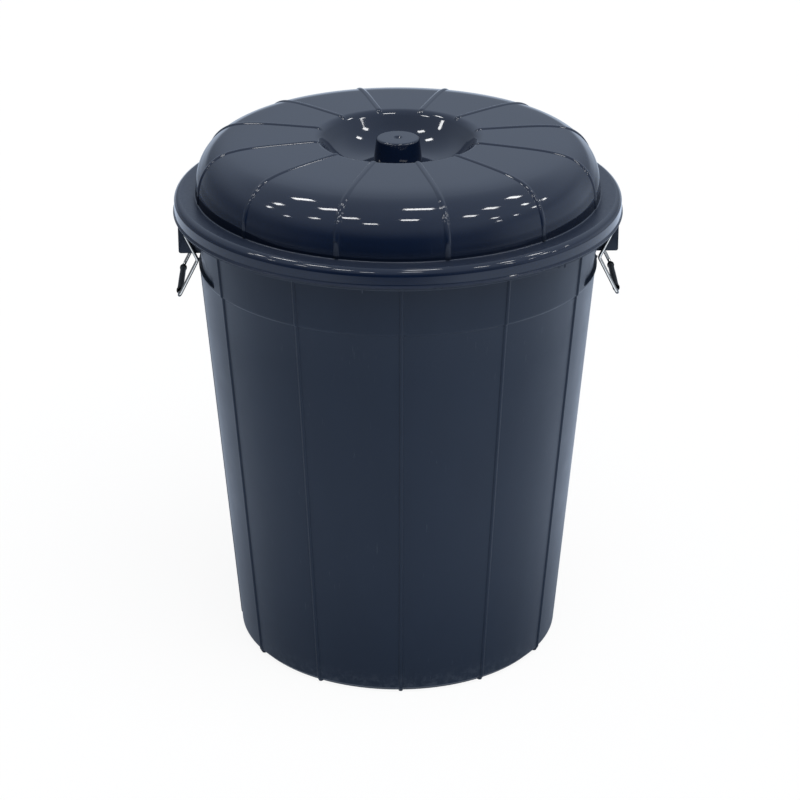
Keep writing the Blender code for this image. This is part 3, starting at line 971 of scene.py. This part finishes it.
    def shell(self) -> Skin:
        """Builds the moulded wall as one closed grid, from under the base over the rim down to the floor.

        Below the flange a rib's crown is the larger of the wall's own radius and the straight wall line plus
        the rib's arc, so that the ribs run on over the rounded bottom corner. They end in the flange's fillet
        and do not cross the half-moons.

        Returns:
            The surface.
        """
        columns, wall = self.columns(), self.wall_radius
        flat, _ = columns.at(self.top_radius)
        along = wall(self.recess_level) * np.cos(flat)
        everywhere = np.ones_like(along)
        below, bend = self.foot_lines()
        start, end = self.band_height - self.band_rise / 2, self.band_height + self.band_rise / 2
        plain = np.concatenate((np.linspace(0.03, start, 9), np.linspace(start, end, 7)[1:]))
        rows = self.wall_rows(along)
        tips = ease((np.abs(along) / (self.recess_width / 2) - 0.85) / 0.08)
        width = self.recess_edge + self.recess_tip_edge * tips
        sunk = self.half_moon(along, rows, 0.0, width)
        first, high, low = self.inner_heights
        heights = np.concatenate(([first], np.linspace(high, low, 28)))
        bulge = self.recess_depth * self.half_moon(along, heights[:, None], self.wall, 0.004)
        blocks = [(line[:, :1] * everywhere, line[:, 1:] * everywhere) for line in (
            below, bend, np.stack((wall(plain), plain), 1), self.rim_line(rows[-1, 0]), self.floor_line())]
        blocks.insert(3, (wall(rows) - self.recess_depth * sunk, rows))
        blocks.insert(5, (wall(heights)[:, None] - self.wall - bulge, heights[:, None] * everywhere))
        radius, height = (np.concatenate(part) for part in zip(*blocks))
        turn, offset = columns.at(np.maximum(radius, self.fan_radius))
        under, over = len(bend) + len(plain), len(bend) + len(plain) + len(rows)
        ribbed = slice(len(below), len(below) + over + self.fillet_rows)
        proud = crown(offset[ribbed], self.rib_width, self.rib_height)
        near_foot = np.clip(1 - height[ribbed] / self.edge_height, 0.0, 1.0)
        line = wall(height[ribbed]) - self.rib_run_in * (wall(0.0) - self.foot_radius) * near_foot
        crest = np.where(proud > 0, line + proud, 0.0)
        crest[under:over] = np.where(sunk > 0, 0.0, crest[under:over])
        radius[ribbed] = np.maximum(radius[ribbed], crest)
        return Skin(turned(radius, turn, height))

    def flange_underside(self) -> float:
        """The height of the flange's lower face."""
        return self.rim_height - self.flange_thickness

    def root(self, along: Array, height: Array) -> Array:
        """Gives how far out a lug's wall begins: inside the tub's wall, where it is hidden.

        Args:
            along: distance from the side's middle line.
            height: height above the floor.

        Returns:
            The distance from the axis along X.
        """
        sunk = self.recess_depth * self.half_moon(along, height, 0.0, 0.001)
        return np.sqrt((self.wall_radius(height) - sunk - self.wall / 2) ** 2 - along ** 2)

    def cheek(self, side: Side, end: int) -> Skin:
        """Builds one cheek of a lug: a flat plate with the handle's bore, as rows from bore to edge.

        Each column runs straight from a point of the bore to the point of the plate's outline that lies in
        the same direction. The rows go out over one face, across the edge, and back over the other.

        Args:
            side: the lug's side.
            end: -1 for the front cheek, 1 for the back one.

        Returns:
            The surface.
        """
        face, bottom = self.lug_face - self.lug_inset, self.lug_bottom
        top = self.rim_height - self.flange_thickness / 2
        outline = Profile().to(face - self.cheek_depth, bottom)
        outline.to(face, bottom, self.lug_corner, 8).to(face, top)
        outer = outline.points()
        rise = np.linspace(top, bottom, 26)
        along = self.lug_width / 2 - self.lug_wall / 2
        back = np.stack((self.root(np.array(along), rise), rise), 1)
        over, under = np.linspace(outer[-1], back[0], 12)[1:], np.linspace(back[-1], outer[0], 16)[1:-1]
        edge = np.concatenate((outer, over, back[1:], under))
        edge = np.concatenate((np.linspace(edge[9], edge[10], 14)[:-1], edge[10:], edge[:9]))
        centre = np.array((self.pivot_radius, self.pivot_height))
        away = edge - centre
        hole = centre + away / np.linalg.norm(away, axis=1, keepdims=True) * self.pivot_bore
        share = np.array((0.0, 0.03, 0.3, 0.97, 1.0))[:, None, None]
        plane = hole + share * (edge - hole)
        outside, inside = self.lug_width / 2, self.lug_width / 2 - self.lug_wall
        out_y = np.array((outside - self.cheek_edge, outside, outside, outside, outside - self.cheek_edge))
        in_y = np.array((inside + self.cheek_edge, inside, inside, inside, inside + self.cheek_edge))
        grid = np.concatenate((plane, plane[::-1]))
        depth = np.concatenate((out_y, in_y))[:, None] * np.ones(len(edge))
        points = np.stack((side.value * grid[..., 0], end * depth, grid[..., 1]), -1)
        return Skin(points, ring=True)

    def face_plate(self, side: Side) -> Skin:
        """Builds a lug's outer plate: an upright section with a rounded lower edge, carried along Y.

        Args:
            side: the lug's side.

        Returns:
            The surface.
        """
        top = self.rim_height - self.flange_thickness / 2
        section = Profile().to(self.lug_face - self.lug_wall, top)
        section.to(self.lug_face - self.lug_wall, self.lug_bottom)
        section.to(self.lug_face - self.lug_corner - 0.0001, self.lug_bottom)
        section.to(self.lug_face, self.lug_bottom, self.lug_corner - 0.0002, 8).to(self.lug_face, top)
        outline = section.points()
        middle = outline.mean(0)
        half = self.lug_width / 2
        full = half - self.plate_edge
        along = np.array((-half, -half, -full, full, half, half)) * self.plate_share
        share = np.array((0.0, 0.9, 1.0, 1.0, 0.9, 0.0))
        grid = middle + share[:, None, None] * (outline - middle)
        depth = along[:, None] * np.ones(len(outline))
        return Skin(np.stack((side.value * grid[..., 0], depth, grid[..., 1]), -1))

    def flash(self, angle: float, across: float, high: float, out: float) -> Skin:
        """Builds a nub of moulding flash on the flange's edge: a small squashed ball.

        Args:
            angle: where it is, from the front towards +X, in degrees.
            across: its half width along the rim.
            high: its half height.
            out: how far it stands out.

        Returns:
            The surface.
        """
        up, around = np.meshgrid(np.linspace(-np.pi / 2, np.pi / 2, 9), np.linspace(0, 2 * np.pi, 15)[:-1],
                                 indexing="ij")
        turn = math.radians(angle)
        radial = self.flange_radius - out + 2 * out * np.cos(up) * np.cos(around)
        side = across * np.cos(up) * np.sin(around)
        height = self.flange_underside() + high * (np.sin(up) - 0.4)
        x = radial * math.sin(turn) + side * math.cos(turn)
        y = -radial * math.cos(turn) + side * math.sin(turn)
        return Skin(np.stack((x, y, height), -1))

    def build(self, finish: bpy.types.Material) -> bpy.types.Object:
        """Builds the whole tub and puts it in its node's place.

        Args:
            finish: the tub's material.

        Returns:
            The object.
        """
        piece = Piece("tub_shell")
        piece.add(self.shell())
        for side in Side:
            piece.add(self.face_plate(side))
            for end in (-1, 1):
                piece.add(self.cheek(side, end))
        for nub in self.flashes:
            piece.add(self.flash(*nub))
        made = piece.finish(finish, 34)
        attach(made, "tub")
        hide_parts("tub")
        return made


# ---------------------------------------------------------------------------------------------
# The lid


@dataclass
class Lid:
    """The lid: knob in a round dish, ribbed crown and shoulder, gutter, roll, skirt and lip."""

    wall: float = 0.0024
    lip_bottom: float = 0.4857
    lip_radius: float = 0.235
    lip_bead: float = 0.0013
    lip_height: float = 0.0009
    roll_radius: float = 0.007
    roll_top: float = 0.505
    gutter_radius: float = 0.2124
    gutter_height: float = 0.5042
    dome_radius: float = 0.2112
    dome_height: float = 0.5054
    shoulder_width: float = 0.0451
    shoulder_rise: float = 0.0544
    out_power: float = 2.07
    up_power: float = 2.53
    dish_radius: float = 0.0835
    dish_edge: float = 0.5636
    dish_floor: float = 0.5297
    dish_slope: float = 51.5
    dish_lip: float = 0.0137
    dish_bend: float = 0.056
    knob_top: float = 0.5613
    knob_radius: float = 0.0222
    knob_foot: float = 0.0262
    knob_edge: float = 0.0024
    knob_wall: float = 0.003
    dimple_radius: float = 0.0048
    dimple_depth: float = 0.0021
    rib_count: int = 12
    rib_phase: float = 12.4
    rib_width: float = 0.0062
    rib_height: float = 0.00128
    crown_lean: float = 0.0175
    dimple_floor: float = 0.4
    dimple_bend: float = 0.0012
    dimple_lip: float = 0.0022
    knob_bend: float = 0.0012
    dome_bend: float = 0.0012
    roll_bend: float = 0.005
    lip_slope: float = 1.8
    lip_bend: float = 0.0008
    rib_inset: float = 0.12
    rib_start: float = 0.0045
    rib_end: float = 0.0006
    fan_radius: float = 0.07
    crown_easing: float = 0.12
    edge_cut: float = 0.0004

    def shoulder(self) -> Array:
        """Gives crown and shoulder: the crown sinks by a steep power of the way out and runs into a round.

        Along the round an angle goes from 0 to 90 degrees. The way out is the width times a power of its
        sine, and the height is the rise times a power of its cosine.

        Returns:
            Rows of radius and height, from the dish out to the foot of the dome.
        """
        inner = self.dome_radius - self.shoulder_width
        angle = np.radians(np.concatenate((np.linspace(15, 83, 30), np.linspace(84.5, 89.5, 6))))
        across = inner + self.shoulder_width * np.sin(angle) ** (2 / self.out_power)
        up = self.dome_height + self.shoulder_rise * np.cos(angle) ** (2 / self.up_power)
        joint, level = across[0], up[0]
        step = (across[1] - joint) / 2
        steep = (up[1] - level) / (across[1] - joint)
        slope = steep - steep * self.crown_easing
        reach = joint - self.dish_radius
        fall = self.dish_edge - level - self.crown_lean * reach
        bend = (-slope - self.crown_lean) * reach / fall
        radius = np.concatenate((np.linspace(0.112, 0.15, 4), np.linspace(0.155, joint - step, 8)))
        share = (radius - self.dish_radius) / reach
        height = self.dish_edge - self.crown_lean * (radius - self.dish_radius) - fall * share ** bend
        return np.concatenate((np.stack((radius, height), 1), np.stack((across, up), 1)))

    def outside(self) -> tuple[Array, Array]:
        """Gives the outer line from the knob's middle to the lip's lower edge, and how proud the ribs stand.

        Returns:
            Rows of radius and height, and the ribs' share of their full height on each.
        """
        run = (self.dish_edge - self.dish_floor) / math.tan(math.radians(self.dish_slope))
        low = self.knob_top - self.dimple_depth
        line = Profile().to(0, low).to(self.dimple_radius * self.dimple_floor, low, self.dimple_bend, 5)
        line.to(self.dimple_radius, self.knob_top, self.dimple_lip, 7)
        line.to(self.knob_radius, self.knob_top, self.knob_edge, 5)
        line.to(self.knob_foot, self.dish_floor, self.knob_bend, 5)
        line.to(self.dish_radius - run, self.dish_floor, self.dish_bend, 12)
        line.to(self.dish_radius, self.dish_edge, self.dish_lip, 12)
        line.through(self.shoulder())
        skirt, middle = self.lip_radius - self.lip_bead, self.roll_top - self.roll_radius
        line.to(self.dome_radius, self.gutter_height - 0.0002, self.dome_bend, 6)
        line.to(self.gutter_radius + 0.0006, self.gutter_height + 0.0001)
        line.to(skirt - self.roll_radius - 0.001, self.roll_top - 0.0001, self.roll_bend, 3)
        angle = np.linspace(np.pi / 2, 0, 13)
        line.through(np.stack((skirt - self.roll_radius + self.roll_radius * np.cos(angle),
                               middle + self.roll_radius * np.sin(angle)), 1))
        bead = self.lip_bottom + self.lip_height
        shelf = bead + self.lip_bead * self.lip_slope
        line.to(skirt, middle - 0.0006).to(skirt, shelf + 0.001).to(skirt, shelf, self.lip_bend, 4)
        line.to(self.lip_radius, bead, 0.0005, 3).to(self.lip_radius, self.lip_bottom, 0.0006, 3)
        points = line.to(self.lip_radius - 0.002, self.lip_bottom).points()
        radius, height = points.T
        start = ease((radius - (self.dish_radius - self.dish_lip * self.rib_inset)) / self.rib_start)
        end = ease((height - self.dome_height) / self.rib_end + 1.0)
        return points, np.where(radius > self.dome_radius + self.dome_bend, 0.0, start * end)

    def inside(self, outer: Array) -> Array:
        """Gives the underside: the outer line moved in by the wall, and the hollow knob's roof.

        Args:
            outer: the outer line.

        Returns:
            Rows of radius and height from the lip in to the axis.
        """
        start = int(np.argmax(outer[:, 1] < self.knob_top - self.knob_wall))
        end = int(np.argmin(np.abs(outer[:, 0] - (self.lip_radius - self.lip_bead))
                            + np.abs(outer[:, 1] - (self.roll_top - self.roll_radius))))
        covered = outer[start:end + 1]
        skin = covered - normals(covered) * self.wall
        roof = self.knob_top - self.knob_wall
        neck = self.knob_radius + self.edge_cut - self.wall
        skirt = self.lip_radius - self.lip_bead - self.wall
        lip = np.array(((skirt, self.lip_bottom + self.edge_cut), (skirt + self.edge_cut, self.lip_bottom)))
        return np.concatenate((lip[::-1], skin[::-1][::2], [[neck, roof]], [[0, roof]]))

    def shell(self) -> Skin:
        """Builds the lid as one closed grid: a rib's point moves out along the line's normal by its arc.

        Returns:
            The surface.
        """
        outer, proud = self.outside()
        inner = self.inside(outer)
        line = np.concatenate((outer, inner))
        share = np.concatenate((proud, np.zeros(len(inner))))
        near = (0.0, 0.00055, 0.0011, 0.00165, 0.0022, 0.0026, 0.0029, 0.00308, 0.0034, 0.0046)
        columns = RibColumns(self.rib_count, math.radians(self.rib_phase), near, 12, {})
        radius = line[:, :1]
        angle, offset = columns.at(np.maximum(radius, self.fan_radius))
        lift = crown(offset, self.rib_width, self.rib_height) * share[:, None]
        way = normals(line)
        return Skin(turned(radius + way[:, :1] * lift, angle, line[:, 1:] + way[:, 1:] * lift))

    def build(self, finish: bpy.types.Material) -> bpy.types.Object:
        """Builds the lid and puts it in its node's place.

        Args:
            finish: the lid's material.

        Returns:
            The object.
        """
        piece = Piece("lid_shell")
        piece.add(self.shell())
        made = piece.finish(finish, 40)
        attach(made, "lid")
        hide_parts("lid")
        return made


# ---------------------------------------------------------------------------------------------
# Handles and grips


@dataclass
class WireHandle:
    """A bail of round wire: bent-in pins, kinked legs and a cross bar."""

    side: Side
    wire: float = 0.0018
    pivot_radius: float = 0.2216
    pivot_height: float = 0.4718
    pin_end: float = 0.0344
    leg: float = 0.045
    kink_in: float = 0.01288
    kink_down: float = 0.02776
    bar_out: float = 0.007605
    bar_down: float = 0.068493
    pin_bend: float = 0.0026
    bend: float = 0.0045

    def route(self) -> Array:
        """Gives the wire's middle line: straight runs joined by arcs, from one pin's end to the other's.

        Returns:
            Rows of X, Y and Z from the hinge axis, on the right side.
        """
        half = [((0, self.pin_end, 0), 0), ((0, self.leg, 0), self.pin_bend),
                ((-self.kink_in, self.leg, -self.kink_down), self.bend),
                ((self.bar_out, self.leg, -self.bar_down), self.bend)]
        corners = half + [((x, -y, z), bend) for (x, y, z), bend in half[::-1]]
        return rounded([np.array(place, float) for place, _ in corners], [(bend, 9) for _, bend in corners])

    def build(self, finish: bpy.types.Material) -> bpy.types.Object:
        """Builds the handle and puts it in its node's place.

        Args:
            finish: the wire's material.

        Returns:
            The object.
        """
        route = self.route()
        ends = np.array((0.0, 0.0, 0.55, 0.87, 1.0))
        slide = np.array((0.0, 0.0, 0.00025, 0.0007, 0.0016))
        way = (route[1] - route[0]) / np.linalg.norm(route[1] - route[0])
        head = route[0] + slide[:, None] * way
        tail = route[-1] + slide[:, None] * way * np.array((1, -1, 1))
        path = np.concatenate((head, route[1:-1], tail[::-1]))
        radius = self.wire * np.concatenate((ends, np.ones(len(route) - 2), ends[::-1]))
        radius[1] = radius[-2] = self.wire * 0.3
        facing = np.array((self.side.value, 1.0, 1.0))
        place = np.array((self.side.value * self.pivot_radius, 0, self.pivot_height))
        piece = Piece(self.side.word + "_handle_wire")
        piece.add(Skin(tube(path, radius, 24) * facing + place))
        made = piece.finish(finish, 50)
        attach(made, self.side.word + "_handle")
        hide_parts(self.side.word + "_handle")
        return made


def tube(path: Array, radius: Array, around: int) -> Array:
    """Carries a circle along a path.

    At each point it stands square to the path, with its first spoke as near to X as it can be.

    Args:
        path: rows of X, Y and Z.
        radius: the circle's radius at each point.
        around: how many columns the tube has.

    Returns:
        A grid of points.
    """
    run = np.gradient(path, axis=0)
    run[:2], run[-2:] = path[4] - path[0], path[-1] - path[-5]
    run = run / np.linalg.norm(run, axis=1, keepdims=True)
    spoke = np.array((1.0, 0, 0)) - run * run[:, :1]
    spoke = spoke / np.linalg.norm(spoke, axis=1, keepdims=True)
    other = np.cross(run, spoke)
    angle = np.linspace(0, 2 * np.pi, around + 1)[:-1]
    circle = np.cos(angle)[None, :, None] * spoke[:, None] + np.sin(angle)[None, :, None] * other[:, None]
    return path[:, None] + radius[:, None, None] * circle


@dataclass
class Grip:
    """A black plastic sleeve, loose on a handle's cross bar, with a collar at each end."""

    side: Side
    bar_radius: float = 0.229205
    bar_height: float = 0.403307
    half_length: float = 0.0346
    slide: float = 0.00472
    bore: float = 0.0021
    body: float = 0.0032
    collar: float = 0.0037
    collar_width: float = 0.003
    swell: float = 0.00012

    def build(self, finish: bpy.types.Material) -> bpy.types.Object:
        """Builds the sleeve by turning a closed line about the bar, and puts it in its node's place.

        Args:
            finish: the sleeve's material.

        Returns:
            The object.
        """
        end, neck = self.half_length, self.half_length - self.collar_width
        line = Profile().to(self.bore, end - 0.0002).to(self.bore + 0.0003, end)
        line.to(self.collar, end, 0.0008, 4).to(self.collar, neck, 0.0009, 4).to(self.body, neck, 0.0006, 3)
        line.to(self.body, neck - 0.004)
        half = line.points()
        waist = np.linspace(0.8, -0.8, 9)
        swell = self.swell * np.cos(waist * np.pi / 1.6) - self.swell
        middle = np.stack((self.body + swell, waist * (neck - 0.004)), 1)
        whole = np.concatenate((half, middle, half[::-1] * (1, -1)))
        angle = np.linspace(0, 2 * np.pi, 33)[:-1]
        x = self.side.value * self.bar_radius + whole[:, :1] * np.cos(angle)
        z = self.bar_height + whole[:, :1] * np.sin(angle)
        y = np.broadcast_to(whole[:, 1:] + self.slide, x.shape)
        piece = Piece(self.side.word + "_grip_sleeve")
        piece.add(Skin(np.stack((x, y, z), -1), ring=True))
        made = piece.finish(finish, 50)
        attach(made, self.side.word + "_grip")
        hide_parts(self.side.word + "_grip")
        return made


# ---------------------------------------------------------------------------------------------
# The studio


@dataclass
class Studio:
    """Pale floor and surroundings, one soft light, small ceiling panels and the camera."""

    reach: float = 30.0
    level: float = 0.5
    key_strength: float = 2.1
    room_colour: Colour = (0.85, 0.99, 1.22, 1.0)
    panel_size: tuple[float, float] = (0.40, 0.22)
    panel_glow: float = 20.0
    ceiling: float = 3.0
    distance: float = 2.6708
    eye_height: float = 1.4655
    tilt: float = 0.4232
    azimuth: float = -1.0
    lens: float = 121.84
    shift: float = 0.0026
    key_spread: float = 55.0
    key_lean: tuple[float, float] = (22.0, 12.0)
    floor_drop: float = 0.0002
    floor_points: int = 9
    panels: tuple[tuple[float, float], ...] = (
        (-1.23, 0.67), (-2.6, -0.02), (-3.85, -0.28), (-1.15, -0.38), (-4.34, -1.64), (-2.56, -1.8),
        (-1.12, -1.53), (-0.84, -2.55), (0.28, -0.14), (0.24, -1.74), (1.79, -0.47), (1.77, 0.66),
        (3.19, -0.1), (4.92, -0.3), (4.19, 0.7), (1.71, -1.42), (3.39, -2.03), (4.76, -2.87), (4.89, -1.64))

    def floor(self) -> None:
        """Lays the pale floor."""
        edge = np.linspace(-self.reach, self.reach, self.floor_points)
        x, y = np.meshgrid(edge, edge, indexing="ij")
        points = np.stack((x, y, np.full_like(x, -self.floor_drop)), -1).reshape(-1, 3)
        number = np.arange(x.size).reshape(x.shape)
        quads = np.stack((number[:-1, :-1], number[1:, :-1], number[1:, 1:], number[:-1, 1:]), -1)
        mesh = bpy.data.meshes.new("studio_floor")
        mesh.from_pydata(points.tolist(), [], quads.reshape(-1, 4).tolist())
        mesh.materials.append(self.floor_finish())
        floor = add_object("studio_floor", mesh)

    def floor_finish(self) -> bpy.types.Material:
        """Builds the floor's material.

        Seen by the camera, most of it glows white, and the rest takes light and keeps a pale shadow. In a
        reflection it glows in the room's colour, with a painted shadow that darkens it close to the bin and
        painted shade that darkens it on the left. Some way off it takes on the brightness of the room beyond
        it.

        Returns:
            The finished material.
        """
        made, nodes = new_material("pale_floor")
        across, depth, _ = nodes.axes(nodes.place())
        away = across * across + depth * depth
        camera, mirrored = self.seen(nodes)
        matt = nodes.make("ShaderNodeBsdfDiffuse", {}, {"Color": rgb(0.95, 0.95, 0.95)})
        white = nodes.glow(rgb(1, 1, 1), 1.0)
        outward = nodes.make("ShaderNodeVectorMath", {"operation": "NORMALIZE"}, {0: nodes.place()})
        strength = self.room(nodes, outward) * (0.65 + away.step(4.0, 16.0) * 0.35)
        dim = nodes.glow(self.room_colour, strength)
        far = away.step(1.7, 3.7) + (1 - depth.step(-1.7, -1.2)) * 0.75
        side = 0.91 + across.step(-0.6, -0.1) * 0.09 + across.step(0.0, 0.35) * 0.2
        # Painted shadow and shade in reflections: the glow is dimmer close to the bin and on the left.
        bright = (0.46 + away.step(0.0, 0.2) * 0.51) * side
        lit = nodes.mix(camera * 0.9, matt, white)
        near = nodes.mix(mirrored, lit, nodes.glow(self.room_colour, bright))
        nodes.cover(nodes.mix(mirrored * far, near, dim))
        return made

    @staticmethod
    def seen(nodes: Nodes) -> tuple[Signal, Signal]:
        """Tells where a ray comes from.

        Args:
            nodes: the tree that needs it.

        Returns:
            1 for a ray from the camera, and 1 for one from a reflection or a clear material.
        """
        camera = nodes.make("ShaderNodeLightPath", output="Is Camera Ray")
        path = camera.socket.node
        glossy = Signal(nodes, path.outputs["Is Glossy Ray"])
        clear = Signal(nodes, path.outputs["Is Transmission Ray"])
        return camera, (glossy + clear).step(0.0, 1.0) * (1 - camera)

    @staticmethod
    def room(nodes: Nodes, direction: Signal) -> Signal:
        """Gives how bright the room looks in a reflection.

        It is dark low down in front, brighter to the sides and upwards. There is a bright window low on the
        right and a white sweep low behind the bin.

        Args:
            nodes: the tree that needs it.
            direction: where the reflected ray goes, as a unit vector.

        Returns:
            The brightness in that direction.
        """
        across, depth, up = nodes.axes(direction)
        beside = depth.step(-1.0, -0.1)
        window = across.step(0.62, 0.9) * (1 - up.step(0.1, 0.35)) * 0.38
        front = 0.08 + across.step(0.1, 0.6) * (1 - beside) * 0.15
        sweep = depth.step(0.75, 0.97) * (1 - up.step(-0.05, 0.1)) * 0.6
        walls = beside * (0.22 + across.step(-0.9, 0.9) * 0.12 + window)
        return front + walls + up.step(0.05, 0.6) * 0.475 + sweep

    def surroundings(self) -> None:
        """Sets the world: white to the camera, the dim room in reflections, and an even sky for the light."""
        world = bpy.data.worlds.new("pale_room")
        bpy.context.scene.world = world
        world.use_nodes = True
        nodes = Nodes(world.node_tree)
        camera, mirrored = self.seen(nodes)
        room = self.room(nodes, nodes.make("ShaderNodeTexCoord", output="Generated"))
        strength = mirrored * room + (1 - mirrored) * self.level
        colour = nodes.blend(mirrored, rgb(0.93, 0.99, 1.07), self.room_colour)
        around = nodes.make("ShaderNodeBackground", {}, {"Color": colour, "Strength": strength})
        white = nodes.make("ShaderNodeBackground", {}, {"Color": rgb(1, 1, 1), "Strength": 1.0})
        nodes.make("ShaderNodeOutputWorld", {}, {"Surface": nodes.mix(camera, around, white)})

    def lamps(self) -> None:
        """Hangs the soft key light, and the ceiling panels that only show in reflections."""
        sky = bpy.data.lights.new("soft_key", "SUN")
        sky.energy = self.key_strength
        sky.angle = math.radians(self.key_spread)
        key = add_object("soft_key", sky)
        key.rotation_euler = (math.radians(self.key_lean[0]), math.radians(self.key_lean[1]), 0)
        key.visible_glossy = key.visible_camera = False
        area = self.panel_size[0] * self.panel_size[1]
        for number, (x, y) in enumerate(self.panels):
            power = self.panel_glow * area * math.pi
            panel = self.lamp(f"ceiling_panel_{number:02d}", self.panel_size, power, (x, y, self.ceiling))
            panel.visible_diffuse = False

    @staticmethod
    def lamp(name: str, size: tuple[float, float], power: float,
             place: tuple[float, float, float]) -> bpy.types.Object:
        """Makes one rectangular lamp that shines down.

        Args:
            name: its name.
            size: its width and depth.
            power: its power in watts.
            place: where it hangs.

        Returns:
            The lamp.
        """
        data = bpy.data.lights.new(name, "AREA")
        data.shape = "RECTANGLE"
        data.size, data.size_y = size
        data.energy = power
        made = add_object(name, data)
        made.location = place
        made.visible_camera = False
        return made

    def camera(self) -> None:
        """Places the camera: level distance from the axis, turned round it, and tilted down."""
        turn = math.radians(self.azimuth)
        data = bpy.data.cameras.new("camera")
        data.lens = self.lens
        data.sensor_width = 36.0
        data.shift_x = self.shift
        data.clip_end = 200.0
        made = add_object("camera", data)
        made.location = (self.distance * math.sin(turn), -self.distance * math.cos(turn), self.eye_height)
        made.rotation_euler = (math.pi / 2 - self.tilt, 0, turn)
        bpy.context.scene.camera = made

    def build(self) -> None:
        """Sets up the whole studio."""
        self.floor()
        self.surroundings()
        self.lamps()
        self.camera()
        bpy.context.scene.view_settings.view_transform = "Standard"


# ---------------------------------------------------------------------------------------------
# The whole scene


def main() -> None:
    """Builds the studio, then the tub, the lid, the handles and the grips."""
    logging.basicConfig(level=logging.INFO, format="%(message)s")
    navy, cloud, scuff = rgb(0.0052, 0.0118, 0.0258), rgb(0.0062, 0.0134, 0.0287), rgb(0.07, 0.085, 0.11)
    deep, haze = rgb(0.0014, 0.0054, 0.0185), rgb(0.0019, 0.0064, 0.021)
    tub_wear = RimWearAndShade(rubbed_from=0.2326, rubbed=0.3)
    # On the lid, the last amount sets the strength of a painted shade where the dome stands on the brim.
    lid_wear_and_shade = RimWearAndShade(rubbed_from=0.2342, rubbed=0.03, dust_from=0.2108, dust_to=0.2295, dust=1.0,
                       corner=0.2112, corner_top=0.5088, grime_and_shade=0.9)
    tub_finish = MouldedPlastic(
        name="matte_tub_plastic", colour=navy, cloud=cloud, scuff=scuff, roughness=0.36, spread=0.10,
        gloss_level=0.26, wave_depth=0.00035, grain_depth=0.00004, scuffs=0.35, foot_wear=0.3, wear_and_shade=tub_wear)
    lid_finish = MouldedPlastic(
        name="gloss_lid_plastic", colour=deep, cloud=haze, scuff=scuff, roughness=0.055, spread=0.04,
        gloss_level=0.5, wave_depth=0.00016, grain_depth=0.000006, scuffs=0.10, foot_wear=0.0, wear_and_shade=lid_wear_and_shade)
    # The wire's rim colour is the dark of a painted reflection along its edges.
    wire = ZincWire(name="bright_zinc_wire", colour=rgb(0.84, 0.78, 0.68), grime_and_shade=rgb(0.22, 0.21, 0.2),
                    rim=rgb(0.02, 0.02, 0.02), roughness=0.08)
    sleeve = GripPlastic(name="black_sleeve_plastic", colour=rgb(0.0015, 0.0015, 0.0018),
                         dust=rgb(0.016, 0.016, 0.018), roughness=0.36)
    Studio().build()
    Tub().build(tub_finish.material())
    Lid().build(lid_finish.material())
    wire_finish, sleeve_finish = wire.material(), sleeve.material()
    for side in Side:
        WireHandle(side).build(wire_finish)
        Grip(side).build(sleeve_finish)


if __name__ == "__main__":
    main()
